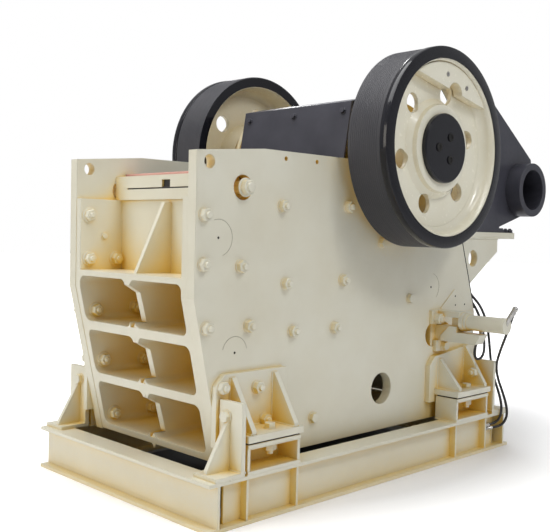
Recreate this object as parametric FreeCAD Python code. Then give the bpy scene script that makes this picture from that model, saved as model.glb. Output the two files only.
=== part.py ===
import FreeCAD, Part
import math
import os

# Jaw crusher on its base frame.  Millimetres, +Z up, feed end towards -Y, belt-wheel axis along X.
# Lengths along the machine (names ending in _y) are measured rearwards from the front edge of the side
# plates; shift_y then moves everything so that the origin is under the middle of the whole machine.

V = FreeCAD.Vector

# ---- base frame: I-beams, pedestals and rubber pads ----
base_h = 196.0
beam_w = 106.0
beam_flange_t = 15.0
beam_web_t = 12.0
beam_web_set_back = 42.0
base_front_y = -45.0
base_rear_clear = 6.0
pedestal_h = 121.0
pedestal_plate_t = 15.0
pedestal_w = 134.0
pad_t = 8.0
foot_flange_t = 28.0

# ---- crusher frame ----
inner_w = 820.0
side_t = 50.0
foot_reach = 170.0
plate_drop = 130.0
plate_h = 1317.0
front_corner_drop = 33.0
front_top_run = 369.0
slant_h = 695.0
slant_run = 160.0
plate_top_rear_y = 1748.0
plate_rear_y = 2030.0
plate_rear_knee_h = 545.0
foot_len = 340.0
foot_front_y = 152.0
foot_rear_y = 1628.0
foot_plate_t = 28.0
foot_plate_h = 255.0
rear_foot_front_h = 200.0
rear_foot_rear_h = 248.0
foot_rib_t = 24.0
foot_corner = 46.0
foot_front_tail = 10.0
foot_rear_tail = 58.0
stop_t = 20.0
stop_h = 290.0
stop_foot_t = 16.0
stop_reach = 150.0

# ---- holes in the side plates ----
lifting_hole_r = 28.0
lifting_hole_y = 67.0
lifting_hole_drop = 75.0
hopper_hole_r = 10.0
hopper_hole_depth = 30.0
hopper_hole_drop = 32.0
hopper_holes_y = (498.0, 696.0)
inspection_r = 78.0
inspection_y = 1205.0
inspection_level = 205.0
window_clear = 2.0
window_run = 110.0

# ---- front frame casting and fixed jaw ----
jaw_seat_y = 345.0
jaw_seat_level = 823.0
jaw_lean = 0.196
casting_wall_t = 30.0
casting_flange_t = 35.0
casting_set_back = 2.0
casting_bottom_h = 6.0
rib_levels = [(37.0, 0.0), (286.0, 245.0), (537.0, 494.0), (773.0, 747.0)]
web_t = 34.0
web_set_back = 60.0
pocket_r = 32.0
bay_wall_y = 230.0
bay_top_h = 1102.0
gusset_t = 22.0
die_t = 62.0
die_rib_h = 13.0
die_rib_pitch = 62.0
die_gap_side = 10.0
die_top_h = 1220.0
die_bottom_h = 70.0
clamp_front_y = 215.0
clamp_h = 112.0
clamp_rod_set = 34.0
clamp_rod_level = 46.0
clamp_rod_r = 24.0
clamp_hole_r = 52.0
clamp_slot = (95.0, 30.0, 50.0, 6.0)
clamp_notch = (-46.0, 60.0, 26.0, 50.0, 40.0)
die_proud = 14.0

# ---- cheek liners ----
cheek_t = 25.0
cheek_clear = 8.0

# ---- eccentric shaft, bearings and wheels ----
shaft_y = 1291.0
shaft_above_seat = 1252.0
shaft_mid_r = 115.0
shaft_journal_r = 90.0
shaft_end_r = 75.0
running = 0.05
fit_gap = 0.3
housing_r = 190.0
housing_flange_r = 235.0
housing_flange_t = 26.0
wheel_gap = 67.0
wheel_w = 228.0
wheel_r = 472.0
rim_t = 60.0
wheel_web_t = 28.0
wheel_web_set = 72.0
hub_r = 212.0
hub_len = 150.0
hub_cap_r = 165.0
hub_cap_t = 24.0
web_hole_r = 46.0
web_hole_pitch_r = 275.0
web_hole_start = 14.0
rim_joint_set = 40.0
weight_chord = 285.0
weight_angle = 79.0
weight_t = 50.0

# ---- pitman, moving jaw and guard ----
set_gap = 78.0
gape_lean = 0.212
barrel_r = 232.0
pitman_clear = 10.0
pitman_wall_t = 46.0
pitman_rib_t = 34.0
guard_t = 10.0
guard_bottom_y = 968.0
guard_top_y = 1023.0
guard_top_h = 1477.0
guard_crown = 33.0
pitman_top_h = 1290.0
pitman_foot_h = 240.0
pitman_foot_reach = 250.0

# ---- toggle, wedges and rear frame ----
rear_wall_y = 1722.0
rear_wall_t = 34.0
rear_rib_levels = [(112.0, 80.0), (360.0, 330.0), (560.0, 532.0), (850.0, 818.0)]
rear_set_back = 12.0
wedge_level = 442.0
toggle_h = 120.0
toggle_groove = 38.0
toggle_groove_depth = 18.0
toggle_t = 56.0
toggle_gap = 26.0
seat_block_y = 1560.0
wedge_run = 74.0
wedge_taper = 0.06
wedge_clear = 4.0
wedge_tail_t = 74.0
wedge_tail_h = 82.0
wedge_tail_low = 52.0

# ---- wedge cylinders ----
cylinder_y = 1695.0
cylinder_level = 520.0
cylinder_r = 40.0
cylinder_len = 204.0
cylinder_cap_t = 28.0
cylinder_rod_r = 16.0
cylinder_flange_r = 49.0
cylinder_flange_t = 24.0
bracket_reach = 146.0
bracket_arm_t = 30.0
bracket_arm_w = 64.0
lug_t = 18.0

# ---- hoses ----
hose_r = 7.0
sleeve_r = 11.0
block_w = 32.0

# ---- motor bracket and motor base ----
bracket_plate_t = 36.0
shelf_level = 993.0
bracket_rear_y = 2445.0
sole_front_y = 1950.0
gusset_plate_t = 40.0
gusset_end_y = 2256.0
gusset_low_h = 705.0
gusset_hole_r = 46.0
motor_plate_x = 455.0
motor_plate_t = 24.0
motor_tube_y = 2492.0
motor_tube_level = 1249.0
motor_tube_r = 157.0
motor_tube_bore = 118.0
motor_tube_out = 90.0

# ---- levels and widths worked out from the sizes above ----
window_r = toggle_h / 2 + window_clear
seat_z = base_h + pedestal_h + pad_t
plate_bottom_z = seat_z - plate_drop
plate_top_z = plate_bottom_z + plate_h
shaft_z = seat_z + shaft_above_seat
half_in = inner_w / 2
half_out = half_in + side_t
half_base = half_out + foot_reach
wheel_in_x = half_out + wheel_gap
wheel_out_x = wheel_in_x + wheel_w
pitman_half = half_in - cheek_t - pitman_clear
slant_top_z = plate_bottom_z + slant_h
base_rear_y = plate_rear_y + base_rear_clear + beam_w
motor_tube_z = plate_bottom_z + motor_tube_level
shift_y = -(base_front_y + motor_tube_y + motor_tube_r) / 2


def level(height):
    """Height above the underside of the side plates, as a height above the ground."""
    return plate_bottom_z + height


def front_edge_y(z):
    """Front edge of the side plates at a height: upright above, slanting rearwards below."""
    return max(0.0, slant_top_z - z) * slant_run / slant_h


def jaw_seat(z):
    """Rear face of the front casting, which carries the fixed jaw."""
    return jaw_seat_y + jaw_lean * (level(jaw_seat_level) - z)


def fixed_face(z):
    """Crests of the fixed jaw's ridges."""
    return jaw_seat(z) + die_t + die_rib_h


def moving_face(z):
    """Crests of the moving jaw's ridges, which meet the set gap at the bottom."""
    low = level(die_bottom_h)
    return fixed_face(low) + set_gap + gape_lean * (z - low)


def moving_back(z):
    """Front face of the pitman, which carries the moving jaw."""
    return moving_face(z) + die_t + die_rib_h


def rear_edge_y(z):
    """Rear edge of the side plates at a height."""
    knee = level(plate_rear_knee_h)
    if z <= knee:
        return plate_rear_y
    rise = (z - knee) / (plate_top_z - knee)
    return plate_rear_y + rise * (plate_top_rear_y - plate_rear_y)


# ---- shape helpers ----
def box(x0, x1, y0, y1, z0, z1):
    return Part.makeBox(x1 - x0, y1 - y0, z1 - z0, V(x0, y0, z0))


def prism_x(points, x0, x1):
    """Solid whose outline is given as (y, z) points and which runs from x0 to x1."""
    wire = Part.makePolygon([V(x0, y, z) for y, z in points + points[:1]])
    return Part.Face(wire).extrude(V(x1 - x0, 0, 0))


def prism_y(points, y0, y1):
    """Solid whose outline is given as (x, z) points and which runs from y0 to y1."""
    wire = Part.makePolygon([V(x, y0, z) for x, z in points + points[:1]])
    return Part.Face(wire).extrude(V(0, y1 - y0, 0))


def prism_z(points, z0, z1):
    """Solid whose outline is given as (x, y) points and which runs from z0 to z1."""
    wire = Part.makePolygon([V(x, y, z0) for x, y in points + points[:1]])
    return Part.Face(wire).extrude(V(0, 0, z1 - z0))


def rod_x(radius, x0, x1, y, z):
    return Part.makeCylinder(radius, x1 - x0, V(x0, y, z), V(1, 0, 0))


def turned_x(profile, y, z):
    """Solid of revolution about the X line through (y, z); the profile is (x, radius) points."""
    wire = Part.makePolygon([V(x, y, z + r) for x, r in profile + profile[:1]])
    return Part.Face(wire).revolve(V(0, y, z), V(1, 0, 0), 360)


def mirrored(shape):
    return shape.mirror(V(0, 0, 0), V(1, 0, 0))


def fused(shapes):
    return shapes[0].multiFuse(shapes[1:]).removeSplitter()


def rounded(shape, radius, along):
    """Round the straight edges that run along one axis, such as the corners of a pocket."""
    def runs_along(edge):
        first, last = edge.Vertexes[0].Point, edge.Vertexes[-1].Point
        step = last - first
        return step.Length > 1 and abs(step.dot(along)) > 0.9 * step.Length
    return shape.makeFillet(radius, [edge for edge in shape.Edges if runs_along(edge)])


def export(name, shape):
    moved = shape.copy()
    moved.translate(V(0, shift_y, 0))
    moved.exportStep(f"parts/{name}.step")
    print(f"{name}: {len(moved.Solids)} solid(s), valid {moved.isValid()}, {moved.Volume / 1e6:.2f} dm3")


def export_pair(name, shape):
    export(f"{name}_right", shape)
    export(f"{name}_left", mirrored(shape))


# ---- base frame ----
def i_section(centre, outer_sign):
    """(across, z) outline pieces of an I-beam whose outer flange edge faces outer_sign."""
    inner = centre - outer_sign * beam_w / 2
    outer = centre + outer_sign * beam_w / 2
    web = outer - outer_sign * beam_web_set_back
    low, high = sorted((inner, outer))
    web_low, web_high = sorted((web, web - outer_sign * beam_web_t))
    return low, high, web_low, web_high


def side_beam():
    low, high, web_low, web_high = i_section(half_base - beam_w / 2, 1)
    y0 = base_front_y + beam_w
    y1 = base_rear_y - beam_w
    flange_top = base_h - beam_flange_t
    pieces = [
        box(low, high, y0, y1, 0, beam_flange_t),
        box(low, high, y0, y1, flange_top, base_h),
        box(web_low, web_high, y0, y1, beam_flange_t, flange_top),
    ]
    for y in (foot_front_y, foot_rear_y):
        for end in (y, y + foot_len - 40 - pedestal_plate_t):
            pieces.append(box(web_high, high - 6, end, end + beam_web_t, beam_flange_t, flange_top))
    return fused(pieces)


def cross_beam(outer_y, outer_sign):
    low, high, web_low, web_high = i_section(outer_y - outer_sign * beam_w / 2, outer_sign)
    flange_top = base_h - beam_flange_t
    return fused([
        box(-half_base, half_base, low, high, 0, beam_flange_t),
        box(-half_base, half_base, low, high, flange_top, base_h),
        box(-half_base, half_base, web_low, web_high, beam_flange_t, flange_top),
    ])


def pedestal(y):
    """Open box of plates that lifts a foot above the base frame."""
    x0 = half_base - pedestal_w
    y1 = y + foot_len - 40
    top = base_h + pedestal_h
    t = pedestal_plate_t
    return fused([
        box(x0, half_base, y, y1, base_h, base_h + t),
        box(x0, half_base, y, y1, top - t, top),
        box(x0, x0 + t, y, y1, base_h, top),
        box(x0, half_base - 4, y, y + t, base_h, top),
        box(x0, half_base - 4, y1 - t, y1, base_h, top),
    ])


def pad(y):
    z0 = base_h + pedestal_h
    return box(half_base - pedestal_w + 6, half_base - 4, y + 4, y + foot_len - 44, z0, z0 + pad_t)


def foot(y, front_h, rear_h, tail):
    """Bolted foot: upright plate on the side plate, flange on the pad, two triangular ribs."""
    flange_x1 = half_base + 6
    plate_x1 = half_out + foot_plate_t
    flange_top = seat_z + foot_flange_t
    upright = prism_x(
        [
            (y - 50, seat_z - 40), (y + foot_len + tail, seat_z - 40),
            (y + foot_len + tail, seat_z + rear_h), (y - 50 + foot_corner, seat_z + front_h),
            (y - 50, seat_z + front_h - foot_corner),
        ],
        half_out, plate_x1,
    )
    flange = box(half_out, flange_x1, y - 5, y + foot_len - 30, seat_z, flange_top)
    pieces = [upright, flange]
    for rib_y, rib_h in ((y + 22, front_h), (y + foot_len - 76, rear_h)):
        rib_top = seat_z + rib_h - 14
        outline = [
            (half_out, flange_top), (flange_x1 - 10, flange_top), (flange_x1 - 10, flange_top + 14),
            (plate_x1 + 12, rib_top), (half_out, rib_top),
        ]
        pieces.append(prism_y(outline, rib_y, rib_y + foot_rib_t))
    return fused(pieces)


def stop(face_y, brace_sign):
    """Upright plate beside a foot that keeps the crusher from creeping, braced by one gusset."""
    x0 = half_out + foot_plate_t + 6
    x1 = half_base
    y0, y1 = sorted((face_y, face_y + brace_sign * stop_t))
    brace_end = face_y + brace_sign * stop_reach
    low, high = sorted((face_y, brace_end))
    mid = x0 + 45
    top = base_h + stop_h
    foot_top = base_h + stop_foot_t
    brace = prism_x(
        [
            (face_y, foot_top), (brace_end - brace_sign * 14, foot_top),
            (brace_end - brace_sign * 14, foot_top + 14), (face_y + brace_sign * stop_t, top - 60),
            (face_y, top - 60),
        ],
        mid, mid + stop_t,
    )
    return fused([box(x0, x1, y0, y1, base_h, top), box(x0, x1, low, high, base_h, foot_top), brace])


# ---- crusher frame ----
def side_plate():
    knee = level(plate_rear_knee_h)
    outline = [
        (slant_run, plate_bottom_z), (plate_rear_y, plate_bottom_z), (plate_rear_y, knee),
        (plate_top_rear_y, plate_top_z), (front_top_run, plate_top_z),
        (0, plate_top_z - front_corner_drop), (0, slant_top_z),
    ]
    plate = prism_x(outline, half_in, half_out)
    x0, x1 = half_in - 1, half_out + 1
    holes = [
        rod_x(housing_r + fit_gap, x0, x1, shaft_y, shaft_z),
        rod_x(clamp_hole_r, x0, x1, clamp_front_y + clamp_rod_set, level(bay_top_h + clamp_rod_level)),
        rod_x(lifting_hole_r, x0, x1, lifting_hole_y, plate_top_z - lifting_hole_drop),
        rod_x(inspection_r, x0, x1, inspection_y, level(inspection_level)),
    ]
    for y in hopper_holes_y:
        z = plate_top_z - hopper_hole_drop
        holes.append(rod_x(hopper_hole_r, half_out - hopper_hole_depth, x1, y, z))
    window_z = level(wedge_level)
    y0 = rear_wall_y - wedge_run / 2 - window_run / 2
    window = fused([
        box(x0, x1, y0, y0 + window_run, window_z - window_r, window_z + window_r),
        rod_x(window_r, x0, x1, y0, window_z),
        rod_x(window_r, x0, x1, y0 + window_run, window_z),
    ])
    return plate.cut(holes[0].multiFuse(holes[1:] + [window]))


def front_frame():
    """Ribbed casting between the side plates: six pockets, a bay above and the jaw seat behind."""
    z0 = plate_bottom_z + casting_bottom_h
    z1 = level(bay_top_h)
    slant_z = slant_top_z
    front = [
        (front_edge_y(z0) + casting_set_back, z0), (jaw_seat(z0), z0), (jaw_seat(z1), z1),
        (casting_set_back, z1), (casting_set_back, slant_z),
    ]
    body = prism_x(front, -half_in, half_in)
    wall = casting_wall_t
    pocket_x0 = web_t / 2
    pocket_x1 = half_in - casting_flange_t
    cuts = []
    for lower, upper in zip(rib_levels[:-1], rib_levels[1:]):
        low, high = level(lower[0]), level(upper[1])
        outline = [(-40, low), (jaw_seat(low) - wall, low), (jaw_seat(high) - wall, high), (-40, high)]
        pocket = rounded(prism_x(outline, pocket_x0, pocket_x1), pocket_r, V(0, 1, 0))
        cuts += [pocket, mirrored(pocket)]
        recess = prism_x(
            [
                (-40, low), (front_edge_y(low) + web_set_back + 14, low),
                (front_edge_y(low) + web_set_back, low + 26),
                (front_edge_y(high - 58) + web_set_back, high - 58),
                (front_edge_y(high - 24) + 4, high - 24), (-40, high - 24),
            ],
            -pocket_x0 - 1, pocket_x0 + 1,
        )
        cuts.append(recess)
    shelf_top = level(rib_levels[-1][0])
    bay = prism_x(
        [(-40, shelf_top), (bay_wall_y, shelf_top), (bay_wall_y, z1 + 1), (-40, z1 + 1)],
        -pocket_x1, pocket_x1,
    )
    cuts.append(bay)
    brace = prism_x(
        [(43, shelf_top), (bay_wall_y, shelf_top), (bay_wall_y, z1 - 14), (190, z1 - 14)],
        -gusset_t / 2, gusset_t / 2,
    )
    return fused([body.cut(cuts[0].multiFuse(cuts[1:])), brace])


def clamp_beam():
    """Bar across the top of the fixed jaw, slotted along its front face."""
    z0 = level(bay_top_h)
    z1 = z0 + clamp_h
    x1 = half_in - 1
    outline = [(clamp_front_y, z0), (jaw_seat(z0), z0), (jaw_seat(z1), z1), (clamp_front_y, z1)]
    bar = prism_x(outline, -x1, x1)
    start, depth, low, height = clamp_slot
    slot = box(-x1 + start, x1 + 1, clamp_front_y - 1, clamp_front_y + depth, z0 + low, z0 + low + height)
    start, width, depth, low, height = clamp_notch
    notch = box(start, start + width, clamp_front_y - 1, clamp_front_y + depth, z0 + low, z0 + low + height)
    bore = rod_x(clamp_rod_r + fit_gap, -half_in, half_in, clamp_front_y + clamp_rod_set,
                 z0 + clamp_rod_level)
    return bar.cut(slot.multiFuse([notch, bore]))


def clamp_rod():
    z = level(bay_top_h + clamp_rod_level)
    y = clamp_front_y + clamp_rod_set
    rod = rod_x(clamp_rod_r, -half_out - 14, half_out + 14, y, z)
    end = box(half_in + 2, half_out + 8, y - 20, y + 36, z - 26, z + 26)
    return fused([rod, end, mirrored(end)])


def ridge_profile(half_width, back, crest, outward):
    """(x, y) outline of a jaw die: flat back and ridged working face."""
    points = [(-half_width, back), (half_width, back)]
    count = int(2 * half_width // die_rib_pitch)
    pitch = 2 * half_width / count
    valley = crest - outward * die_rib_h
    x = half_width
    for _ in range(count):
        points += [
            (x, valley), (x - 0.16 * pitch, valley), (x - 0.34 * pitch, crest),
            (x - 0.66 * pitch, crest), (x - 0.84 * pitch, valley),
        ]
        x -= pitch
    points.append((-half_width, valley))
    return points


def jaw_die(back_y, lean, half_width, outward, z0, z1):
    """Manganese jaw die that leans by `lean` and whose ridges face `outward` (+1 or -1 along Y)."""
    low_y = back_y(z0)
    profile = ridge_profile(half_width, 0.0, outward * (die_t + die_rib_h), outward)
    wire = Part.makePolygon([V(x, low_y + y, z0) for x, y in profile + profile[:1]])
    return Part.Face(wire).extrude(V(0, lean * (z1 - z0), z1 - z0))


def fixed_jaw_die():
    half = half_in - die_gap_side
    return jaw_die(jaw_seat, -jaw_lean, half, 1, level(die_bottom_h), level(bay_top_h + clamp_h + die_proud))


def moving_jaw_die():
    return jaw_die(moving_back, gape_lean, pitman_half, -1, level(die_bottom_h), level(die_top_h + 30))


def cheek_liner():
    """Wear plate on the inside of a side plate, shaped to the crushing chamber."""
    z0 = level(150.0)
    z1 = level(1190.0)
    outline = [
        (fixed_face(z0) + cheek_clear, z0), (moving_back(z0) + 20, z0),
        (moving_back(z1) + 30, z1), (fixed_face(z1) + cheek_clear, z1),
    ]
    return prism_x(outline, half_in - cheek_t, half_in)


# ---- shaft, bearings and wheels ----
def bearing_housing():
    x0 = half_in - 8
    x1 = wheel_in_x - 12
    body = rod_x(housing_r, x0, x1, shaft_y, shaft_z)
    flange = rod_x(housing_flange_r, half_out, half_out + housing_flange_t, shaft_y, shaft_z)
    bore = rod_x(shaft_journal_r + running, x0 - 1, x1 + 1, shaft_y, shaft_z)
    return fused([body, flange]).cut(bore)


def eccentric_shaft():
    mid = half_in - 14
    journal = wheel_in_x - 6
    end = wheel_out_x - 40
    profile = [
        (-end, 0), (-end, shaft_end_r), (-journal, shaft_end_r), (-journal, shaft_journal_r),
        (-mid, shaft_journal_r), (-mid, shaft_mid_r), (mid, shaft_mid_r), (mid, shaft_journal_r),
        (journal, shaft_journal_r), (journal, shaft_end_r), (end, shaft_end_r), (end, 0),
    ]
    return turned_x(profile, shaft_y, shaft_z)


def wheel():
    """Belt wheel: broad rim, thin pierced web and a boss on the shaft, as (rim, hub)."""
    a, b = wheel_in_x, wheel_out_x
    web_out = b - wheel_web_set
    web_in = web_out - wheel_web_t
    hub_out = b - 36
    hub_in = hub_out - hub_len
    inner = wheel_r - rim_t
    joint = inner - rim_joint_set
    c = 5.0
    rim = turned_x(
        [
            (a + c, wheel_r), (b - 40, wheel_r), (b - 38, wheel_r + 3), (b - c, wheel_r + 3),
            (b, wheel_r - 2), (b, inner + 4), (b - 6, inner), (web_out + 26, inner - 8), (web_out, inner - 34),
            (web_out, joint), (web_in, joint), (web_in, inner - 34), (web_in - 26, inner - 8),
            (a + 6, inner), (a, inner + 4), (a, wheel_r - c),
        ],
        shaft_y, shaft_z,
    )
    hub = turned_x(
        [
            (web_out, joint), (web_out - 8, hub_r + 26), (web_out + 16, hub_r), (hub_out, hub_r - 6),
            (hub_out, shaft_end_r + running), (hub_in, shaft_end_r + running), (hub_in, hub_r - 34),
            (web_in, hub_r), (web_in, joint),
        ],
        shaft_y, shaft_z,
    )
    holes = []
    for index in range(6):
        angle = math.radians(web_hole_start + 60 * index)
        y = shaft_y + web_hole_pitch_r * math.cos(angle)
        z = shaft_z + web_hole_pitch_r * math.sin(angle)
        holes.append(rod_x(web_hole_r, web_in - 20, web_out + 20, y, z))
    return rim, hub.cut(holes[0].multiFuse(holes[1:]))


def hub_cap():
    x0 = wheel_out_x - 36
    cap = turned_x(
        [(x0, 0), (x0, hub_cap_r), (x0 + hub_cap_t - 5, hub_cap_r), (x0 + hub_cap_t, hub_cap_r - 5),
         (x0 + hub_cap_t, 0)],
        shaft_y, shaft_z,
    )
    return cap


def counterweight():
    """Chord-shaped balance weight bolted in the outer dish of a wheel."""
    web_out = wheel_out_x - wheel_web_set
    x0 = web_out + fit_gap
    x1 = x0 + weight_t
    inner = wheel_r - rim_t
    disc = turned_x(
        [(x0, 0), (x0, inner - 36), (x0 + 26, inner - 10), (x1, inner - 7), (x1, 0)], shaft_y, shaft_z,
    )
    angle = math.radians(weight_angle)
    normal = V(0, math.cos(angle), math.sin(angle))
    along = V(0, -math.sin(angle), math.cos(angle))
    centre = V(x0 - 1, shaft_y, shaft_z)
    corners = [
        centre + normal * weight_chord - along * wheel_r, centre + normal * weight_chord + along * wheel_r,
        centre + normal * wheel_r + along * wheel_r, centre + normal * wheel_r - along * wheel_r,
    ]
    keep = Part.Face(Part.makePolygon(corners + corners[:1])).extrude(V(weight_t + 2, 0, 0))
    hole_angle = math.radians(web_hole_start + 60)
    notch = rod_x(
        web_hole_r + 10, x0 - 1, x1 + 1,
        shaft_y + web_hole_pitch_r * math.cos(hole_angle), shaft_z + web_hole_pitch_r * math.sin(hole_angle),
    )
    return disc.common(keep).cut(notch)


# ---- pitman ----
def toggle_line():
    """Ends of the toggle plate: on the pitman in front and on the seat block behind."""
    front_z = level(pitman_foot_h)
    return (moving_back(front_z) + pitman_foot_reach, front_z), (seat_block_y, level(wedge_level))


def pitman_barrel():
    """Bored barrel that hangs the swing jaw on the shaft."""
    barrel = rod_x(barrel_r, -pitman_half, pitman_half, shaft_y, shaft_z)
    return barrel.cut(rod_x(shaft_mid_r + running, -half_in, half_in, shaft_y, shaft_z))


def pitman():
    """Swing jaw casting below the barrel: front wall for the jaw die, ribs and toggle pocket."""
    low = level(die_bottom_h - 10)
    high = level(pitman_top_h)
    wall = prism_x(
        [
            (moving_back(low), low), (moving_back(low) + pitman_wall_t, low),
            (moving_back(high) + pitman_wall_t, high), (moving_back(high), high),
        ],
        -pitman_half, pitman_half,
    )
    (front_y, front_z), _ = toggle_line()
    pocket_z0 = front_z - 70
    pocket_z1 = front_z + 70
    outline = [
        (moving_back(low) + 30, low), (moving_back(low) + 90, low), (front_y, pocket_z0),
        (front_y, pocket_z1), (shaft_y + barrel_r * 0.55, shaft_z - barrel_r * 0.75),
        (shaft_y, shaft_z), (moving_back(high) + 30, high),
    ]
    pieces = [wall]
    span = 2 * pitman_half - pitman_rib_t
    for index in range(4):
        x0 = -pitman_half + index * span / 3
        pieces.append(prism_x(outline, x0, x0 + pitman_rib_t))
    pieces.append(box(-pitman_half, pitman_half, front_y - 70, front_y, pocket_z0, pocket_z1))
    groove = box(
        -pitman_half - 1, pitman_half + 1, front_y - toggle_groove_depth, front_y + 1,
        front_z - toggle_groove, front_z + toggle_groove,
    )
    barrel_room = rod_x(barrel_r, -half_in, half_in, shaft_y, shaft_z)
    return fused(pieces).cut(barrel_room.multiFuse([groove]))


def guard():
    """Bent cover over the front and top of the pitman."""
    top = seat_z + guard_top_h
    bottom = level(pitman_top_h)
    t = guard_t
    crown_z = top + guard_crown
    outer = [
        (guard_bottom_y, bottom), (guard_top_y, top), (guard_top_y + 130, crown_z),
        (shaft_y + 150, crown_z), (shaft_y + 265, crown_z - 110),
    ]
    inner = [
        (shaft_y + 265 - t, crown_z - 115), (shaft_y + 150 - t * 0.6, crown_z - t),
        (guard_top_y + 130 + t * 0.3, crown_z - t), (guard_top_y + t, top - t * 0.6),
        (guard_bottom_y + t, bottom),
    ]
    sheet = prism_x(outer + inner, -pitman_half, pitman_half)
    saddle_top = crown_z - t
    saddles = [
        box(x - 20, x + 20, shaft_y - 60, shaft_y + 60, shaft_z + barrel_r - 40, saddle_top)
        for x in (-pitman_half + 60, pitman_half - 60)
    ]
    lip = box(-pitman_half, pitman_half, guard_bottom_y, moving_back(bottom) + 28, bottom, bottom + t)
    body = fused([sheet, lip] + saddles)
    return body.cut(rod_x(barrel_r + fit_gap, -half_in, half_in, shaft_y, shaft_z))


# ---- toggle and rear frame ----
def rear_frame():
    """Ribbed casting that closes the rear and carries the toggle wedges."""
    z0, z1 = level(rear_rib_levels[0][1]), level(rear_rib_levels[-1][0])
    knee = level(plate_rear_knee_h)
    back = rear_set_back
    profile = [
        (rear_wall_y, z0), (plate_rear_y - back, z0), (plate_rear_y - back, knee),
        (rear_edge_y(z1) - back, z1), (rear_wall_y, z1),
    ]
    body = prism_x(profile, -half_in, half_in)
    flange = casting_flange_t
    cuts = []
    for lower, upper in zip(rear_rib_levels[:-1], rear_rib_levels[1:]):
        low, high = level(lower[0]), level(upper[1])
        pocket = prism_x(
            [(rear_wall_y + rear_wall_t, low), (plate_rear_y + 40, low), (plate_rear_y + 40, high),
             (rear_wall_y + rear_wall_t, high)],
            web_t / 2, half_in - flange,
        )
        pocket = rounded(pocket, pocket_r, V(0, 1, 0))
        cuts += [pocket, mirrored(pocket)]
    shelf_z = level(wedge_level) - toggle_h / 2
    lower_shelf = box(-half_in, half_in, seat_block_y, rear_wall_y + 2, shelf_z - 34, shelf_z)
    upper_shelf = box(-half_in, half_in, seat_block_y + 40, rear_wall_y + 2, shelf_z + toggle_h + fit_gap,
                      shelf_z + toggle_h + 34)
    return fused([body.cut(cuts[0].multiFuse(cuts[1:])), lower_shelf, upper_shelf])


def toggle_seat():
    """Block that takes the toggle plate's rear end; its back is tapered to suit the wedges."""
    z0 = level(wedge_level) - toggle_h / 2
    half = half_in - 30
    back = rear_wall_y - wedge_run
    block = prism_z(
        [(-half, seat_block_y), (half, seat_block_y), (half, back - wedge_taper * half), (0, back),
         (-half, back - wedge_taper * half)],
        z0, z0 + toggle_h,
    )
    mid = z0 + toggle_h / 2
    groove = box(
        -half - 1, half + 1, seat_block_y - 1, seat_block_y + toggle_groove_depth,
        mid - toggle_groove, mid + toggle_groove,
    )
    return block.cut(groove)


def toggle_wedge():
    """Wedge between the seat block and the rear frame; its tail comes out through the side plate."""
    z0 = level(wedge_level) - toggle_h / 2
    back = rear_wall_y
    front = rear_wall_y - wedge_run
    x0 = wedge_clear
    x1 = half_out - 4
    wedge = prism_z(
        [(x0, front - wedge_taper * x0), (x1, front - wedge_taper * x1), (x1, back), (x0, back)],
        z0, z0 + toggle_h,
    )
    low = level(cylinder_level) - cylinder_flange_r - 5 - wedge_tail_low
    step = low + wedge_tail_low
    top = low + wedge_tail_h
    flange_x = half_out + bracket_reach
    tail = prism_y(
        [
            (x1 + 46, low), (x1 + 46, low + 30), (x1 + 98, top), (flange_x - 8, top), (flange_x - 8, step),
            (flange_x + 134, step), (flange_x + 106, low),
        ],
        back - 4 - wedge_tail_t, back - 4,
    )
    neck = box(x1 - 2, x1 + 100, back - 60, back - 4, low, top)
    eye = box(flange_x - 52, flange_x - 10, back - 52, back - 4, top - 2, level(cylinder_level) + 18)
    return fused([wedge, neck, tail, eye])


def toggle_plate():
    """Plate that props the pitman's foot; its front end stands clear for the swing."""
    (front_y, front_z), (rear_y, rear_z) = toggle_line()
    rear_y += toggle_groove_depth - fit_gap
    run = V(0, rear_y - front_y, rear_z - front_z)
    unit = V(0, run.y / run.Length, run.z / run.Length)
    across = V(0, -unit.z, unit.y)
    half = toggle_t / 2
    start = V(-half_in + 40, rear_y, rear_z) - unit * (run.Length - toggle_gap)
    end = V(-half_in + 40, rear_y, rear_z) - unit * (half * 0.4)
    corners = [start - across * half * 0.6, end - across * half, end + across * half,
               start + across * half * 0.6]
    body = Part.Face(Part.makePolygon(corners + corners[:1])).extrude(V(2 * (half_in - 40), 0, 0))
    z0 = rear_z - 34
    tip = box(-half_in + 40, half_in - 40, rear_y - 30, rear_y, z0, rear_z + 34)
    return fused([body, tip])


# ---- wedge cylinders ----
def cylinder_bracket():
    """Arm and round flange that carry a wedge cylinder, with a separate guide lug below the tail."""
    z = level(cylinder_level)
    x1 = half_out + bracket_reach
    arm_low = z + 23
    arm_high = arm_low + bracket_arm_t
    y0 = cylinder_y - bracket_arm_w / 2 - 10
    arm = box(half_out, x1 + 2, y0, y0 + bracket_arm_w, arm_low, arm_high)
    flange = rod_x(cylinder_flange_r, x1, x1 + cylinder_flange_t, cylinder_y, z)
    lug_low = level(wedge_level) + window_r - 2
    lug = box(half_out, half_out + lug_t, y0 - 55, y0 + bracket_arm_w, lug_low, arm_high)
    body = fused([arm, flange, lug]).cut(
        rod_x(cylinder_rod_r + fit_gap, x1 - 1, x1 + cylinder_flange_t + 1, cylinder_y, z)
    )
    guide_high = z - cylinder_flange_r - 5 - wedge_tail_low - fit_gap
    guide_y = rear_wall_y - wedge_tail_t - 8
    guide = box(half_out, half_out + lug_t + 4, guide_y, guide_y + 92, guide_high - 58, guide_high)
    return Part.makeCompound([body, guide])


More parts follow.
